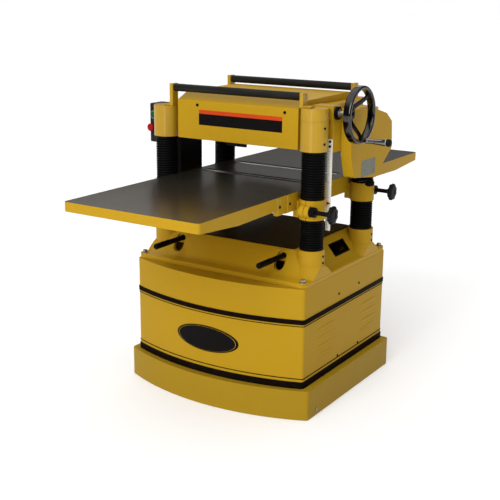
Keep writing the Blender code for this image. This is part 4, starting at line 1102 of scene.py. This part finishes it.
def build_hood_label():
    """A blank plate where the real machine carries its front label."""
    face = low("hood_cover").y
    left, right, foot, top = -0.142, 0.187, 0.92, 0.971
    split = top - (top - foot) * 0.26
    for name, start, end, material in (("front_label_field", foot, split, LABEL_BLACK),
                                       ("front_label_stripe", split, top, LABEL_ORANGE)):
        outline = rectangle(left, start, right, end)
        plate(name, outline, "y", face, face - PROUD, material, edge=0.0001)
    places = [along_y(x, face, 0.986) for x in (-0.148, 0.196)]
    screws("hood_screws", places, 0.005, BLACK)


def build_limiter():
    """The tab under the hood's front edge that limits the depth of cut."""
    outline = rectangle(-0.032, 0.8588, 0.049, 0.915)
    plate("depth_limiter", outline, "y", -0.1935, -0.1963, BLACK, corner=0.004)


def build_gear_cover_trim():
    """A blank data plate, and the shaft's bearing ring beside the cover."""
    face = high("gear_cover").x
    label = rectangle(-0.006, 0.765, 0.101, 0.82)
    plate("cover_label", label, "x", face, face + PROUD, LABEL_GREY, edge=0.0001, corner=0.002)
    shaft = middle("handwheel_shaft")
    ring = [(0.0135, 0.0), (0.0212, 0.0), (0.0212, 0.0085), (0.0185, 0.01), (0.0135, 0.01)]
    wall = high("head_casting").x
    turned("shaft_bearing_ring", ring, along_x(wall, shaft.y, shaft.z), BLACK, soft=0.0012,
           closed=True)


def set_screws_on(node_radius, x, y, angle, heights):
    """Places for set screws round a boss, at one angle and several heights."""
    turn = radians(angle)
    out = Vector((cos(turn), sin(turn), 0.0))
    places = []
    for z in heights:
        spot = Vector((x, y, z)) + out * node_radius
        places.append(Matrix.Translation(spot) @ out.to_track_quat("Z", "Y").to_matrix().to_4x4())
    return places


def build_boss_screws():
    x, y = middle("column_front_right").x, -middle("column_front_right").y
    places = []
    for sx, sy in CORNERS:
        outward = 0.0 if sx > 0 else 180.0
        spot = (sx * x, sy * y)
        places += set_screws_on(BOSS_REACH["base"], *spot, outward, BASE_SCREW_HEIGHTS)
        aside = 14.0 * sy if sx > 0 else 180.0
        places += set_screws_on(BOSS_REACH["head"], *spot, aside, HEAD_SCREW_HEIGHTS)
    screws("clamp_set_screws", places, 0.004, BLACK)
    seam = [(0.044, -0.0006), (0.0452, -0.0006), (0.0452, 0.0006), (0.044, 0.0006)]
    turned("boss_seam", seam, along_z(x, -y, BOSS_SEAM_Z), GOLD_PLINTH, "frame", 64, 0.0, closed=True)


def build_table_screws():
    """A cast pad with its screw on each side of every extension joint."""
    side = high("infeed_extension").x
    joint = -high("infeed_extension").y
    foot, top = high("table").z - TABLE_EDGE + 0.001, high("table").z - 0.004
    pads, places = bmesh.new(), []
    for sx in (-1, 1):
        turn = along_x if sx > 0 else mirror_x
        for y in (joint + 0.038, joint - 0.024, -joint + 0.024, -joint - 0.038):
            outline = rectangle(y - 0.0135, foot, y + 0.0135, top)
            add_plate(pads, outline, "x", sx * (side - 0.0005), sx * (side + 0.0016), corner=0.004)
            places.append(turn(sx * (side + 0.0016), y, (foot + top) / 2))
    piece("table_joint_pads", pads, GOLD_CAST, "table")
    screws("table_joint_screws", places, 0.0046, BLACK, "table")


def mirror_x(x, y, z):
    """Turns a profile's own Z axis to run along -X from this point."""
    return Matrix.Translation((x, y, z)) @ Matrix.Rotation(-pi / 2, 4, "Y")


def build_switch():
    """Domed buttons, and a raised bezel round the start button."""
    face = low("switch_box").y
    mushroom = [(0.0, -0.005), (0.0066, -0.005), (0.0066, 0.006), (0.0138, 0.0105),
                (0.0138, 0.0145), (0.0095, 0.0182), (0.0, 0.0189)]
    pusher = [(0.0, -0.0052), (0.0108, -0.0052), (0.0108, 0.0034), (0.0096, 0.0045), (0.0, 0.0045)]
    for node, name, head, plastic_used, soft in (
            ("stop_button", "stop_mushroom", mushroom, RED_PLASTIC, 0.002),
            ("start_button", "start_pusher", pusher, GREEN_PLASTIC, 0.0008)):
        place = along_y(middle(node).x, face, middle(node).z)
        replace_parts(turned(name, head, place, plastic_used, node, 40, soft), node)
    ring = [(0.0116, 0.0), (0.0142, 0.0), (0.0142, 0.0022), (0.0134, 0.003), (0.0116, 0.003)]
    turned("start_bezel", ring, place, ZINC, "frame", 40, 0.0, closed=True)


def build_lever():
    """The speed lever: a stepped hub and a thin arched arm."""
    bottom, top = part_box("feed_speed_lever")
    joint = next(j for j in frame["joints"] if j["name"] == "feed_speed_select")
    x, y, hub_top = joint["pos_m"]
    hub_foot = bottom.z
    profile = [(0.0, 0.0), (0.011, 0.0), (0.0158, 0.004), (0.0158, 0.013), (0.012, 0.016),
               (0.012, 0.022), (0.0105, hub_top - hub_foot - 0.0002), (0.0058, hub_top - hub_foot),
               (0.0058, top.z - hub_foot), (0.0, top.z - hub_foot)]
    bm = add_turned(bmesh.new(), profile, along_z(x, y, hub_foot), 40, soft=0.0015)
    start = Vector((x, y, 0.735))
    end = Vector((bottom.x + 0.005, bottom.y + 0.006, 0.74))
    points = [start.lerp(end, t / 8) + Vector((0.0, 0.0, 0.002 * sin(pi * t / 8)))
              for t in range(9)]
    add_tube(bm, points, [0.0046 - 0.0008 * t / 8 for t in range(9)])
    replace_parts(piece("speed_lever", bm, BLACK, "feed_speed_lever"), "feed_speed_lever")


def build_head_trim():
    build_return_rollers()
    build_feed_rollers()
    build_bed_rollers()
    build_cutterhead()
    build_hood_label()
    build_limiter()
    build_gear_cover_trim()
    build_boss_screws()
    build_table_screws()
    build_switch()
    build_lever()


# --- studio ---

def build_floor():
    bm = bmesh.new()
    bmesh.ops.create_circle(bm, cap_ends=True, segments=96, radius=60.0,
                            matrix=Matrix.Translation((0.0, 0.0, -0.0005)))
    piece("floor", bm, FLOOR, None)


def area_light(name, place, aim, size, power):
    """A softbox: a white rectangle of light that faces its aim."""
    light = adjusted(bpy.data.lights.new(name, "AREA"), shape="RECTANGLE", size=size[0],
                     size_y=size[1], energy=power)
    item = in_scene(name, light)
    item.location = place
    item.rotation_euler = (Vector(aim) - Vector(place)).to_track_quat("-Z", "Y").to_euler()


def sun_light(name, towards, strength, angle):
    """Even, soft light that comes from a direction."""
    light = adjusted(bpy.data.lights.new(name, "SUN"), energy=strength, angle=radians(angle))
    in_scene(name, light).rotation_euler = Vector(towards).to_track_quat("Z", "Y").to_euler()


def build_world():
    """A dim room with a wide soft light overhead, seen against a white backdrop."""
    world = bpy.data.worlds.new("studio")
    world.use_nodes = True
    nodes, links = world.node_tree.nodes, world.node_tree.links
    background = nodes["Background"]
    background.inputs["Color"].default_value = (1.0, 1.0, 1.0, 1.0)
    path = nodes.new("ShaderNodeLightPath")
    split = nodes.new("ShaderNodeSeparateXYZ")
    overhead = adjusted(nodes.new("ShaderNodeMapRange"), interpolation_type="SMOOTHSTEP")
    strength = nodes.new("ShaderNodeMapRange")
    links.new(nodes.new("ShaderNodeTexCoord").outputs["Generated"], split.inputs[0])
    feed(links, overhead.inputs, (split.outputs["Z"], 0.45, 0.85, ROOM_LIGHT, OVERHEAD_LIGHT))
    feed(links, strength.inputs,
         (path.outputs["Is Camera Ray"], 0.0, 1.0, overhead.outputs["Result"], 1.0))
    links.new(strength.outputs["Result"], background.inputs["Strength"])
    bpy.context.scene.world = world


def build_lights():
    sun_light("key", (0.04, -0.86, 0.5), 1.46, 45.0)
    aim = (0.0, 0.0, 0.8)
    area_light("front_panel", (0.3, -2.9, 2.2), aim, (0.35, 1.6), 16.0)
    area_light("low_strip", (0.4, -2.9, 0.55), (0.0, 0.0, 0.7), (0.22, 1.0), 6.0)
    area_light("right_panel", (2.4, -0.9, 2.3), (0.34, 0.0, 1.0), (0.6, 0.6), 3.0)
    area_light("rear_panel", (-2.9, 4.5, 3.3), aim, (6.0, 2.0), 34.0)
    build_world()


def build_camera():
    """A camera at the viewing angle of a catalogue picture."""
    place, target = Vector(CAMERA_PLACE), Vector(CAMERA_TARGET)
    item = in_scene("camera", adjusted(bpy.data.cameras.new("camera"), sensor_width=36.0, lens=68.2))
    look = (target - place).to_track_quat("-Z", "Y").to_matrix().to_4x4()
    item.matrix_world = Matrix.Translation(place) @ look @ Matrix.Rotation(CAMERA_ROLL, 4, "Z")
    bpy.context.scene.camera = item


finish_frame_nodes()
build_cabinet_trim()
build_lift_trim()
build_head_trim()
build_floor()
build_lights()
build_camera()
bpy.context.scene.view_settings.view_transform = "Standard"
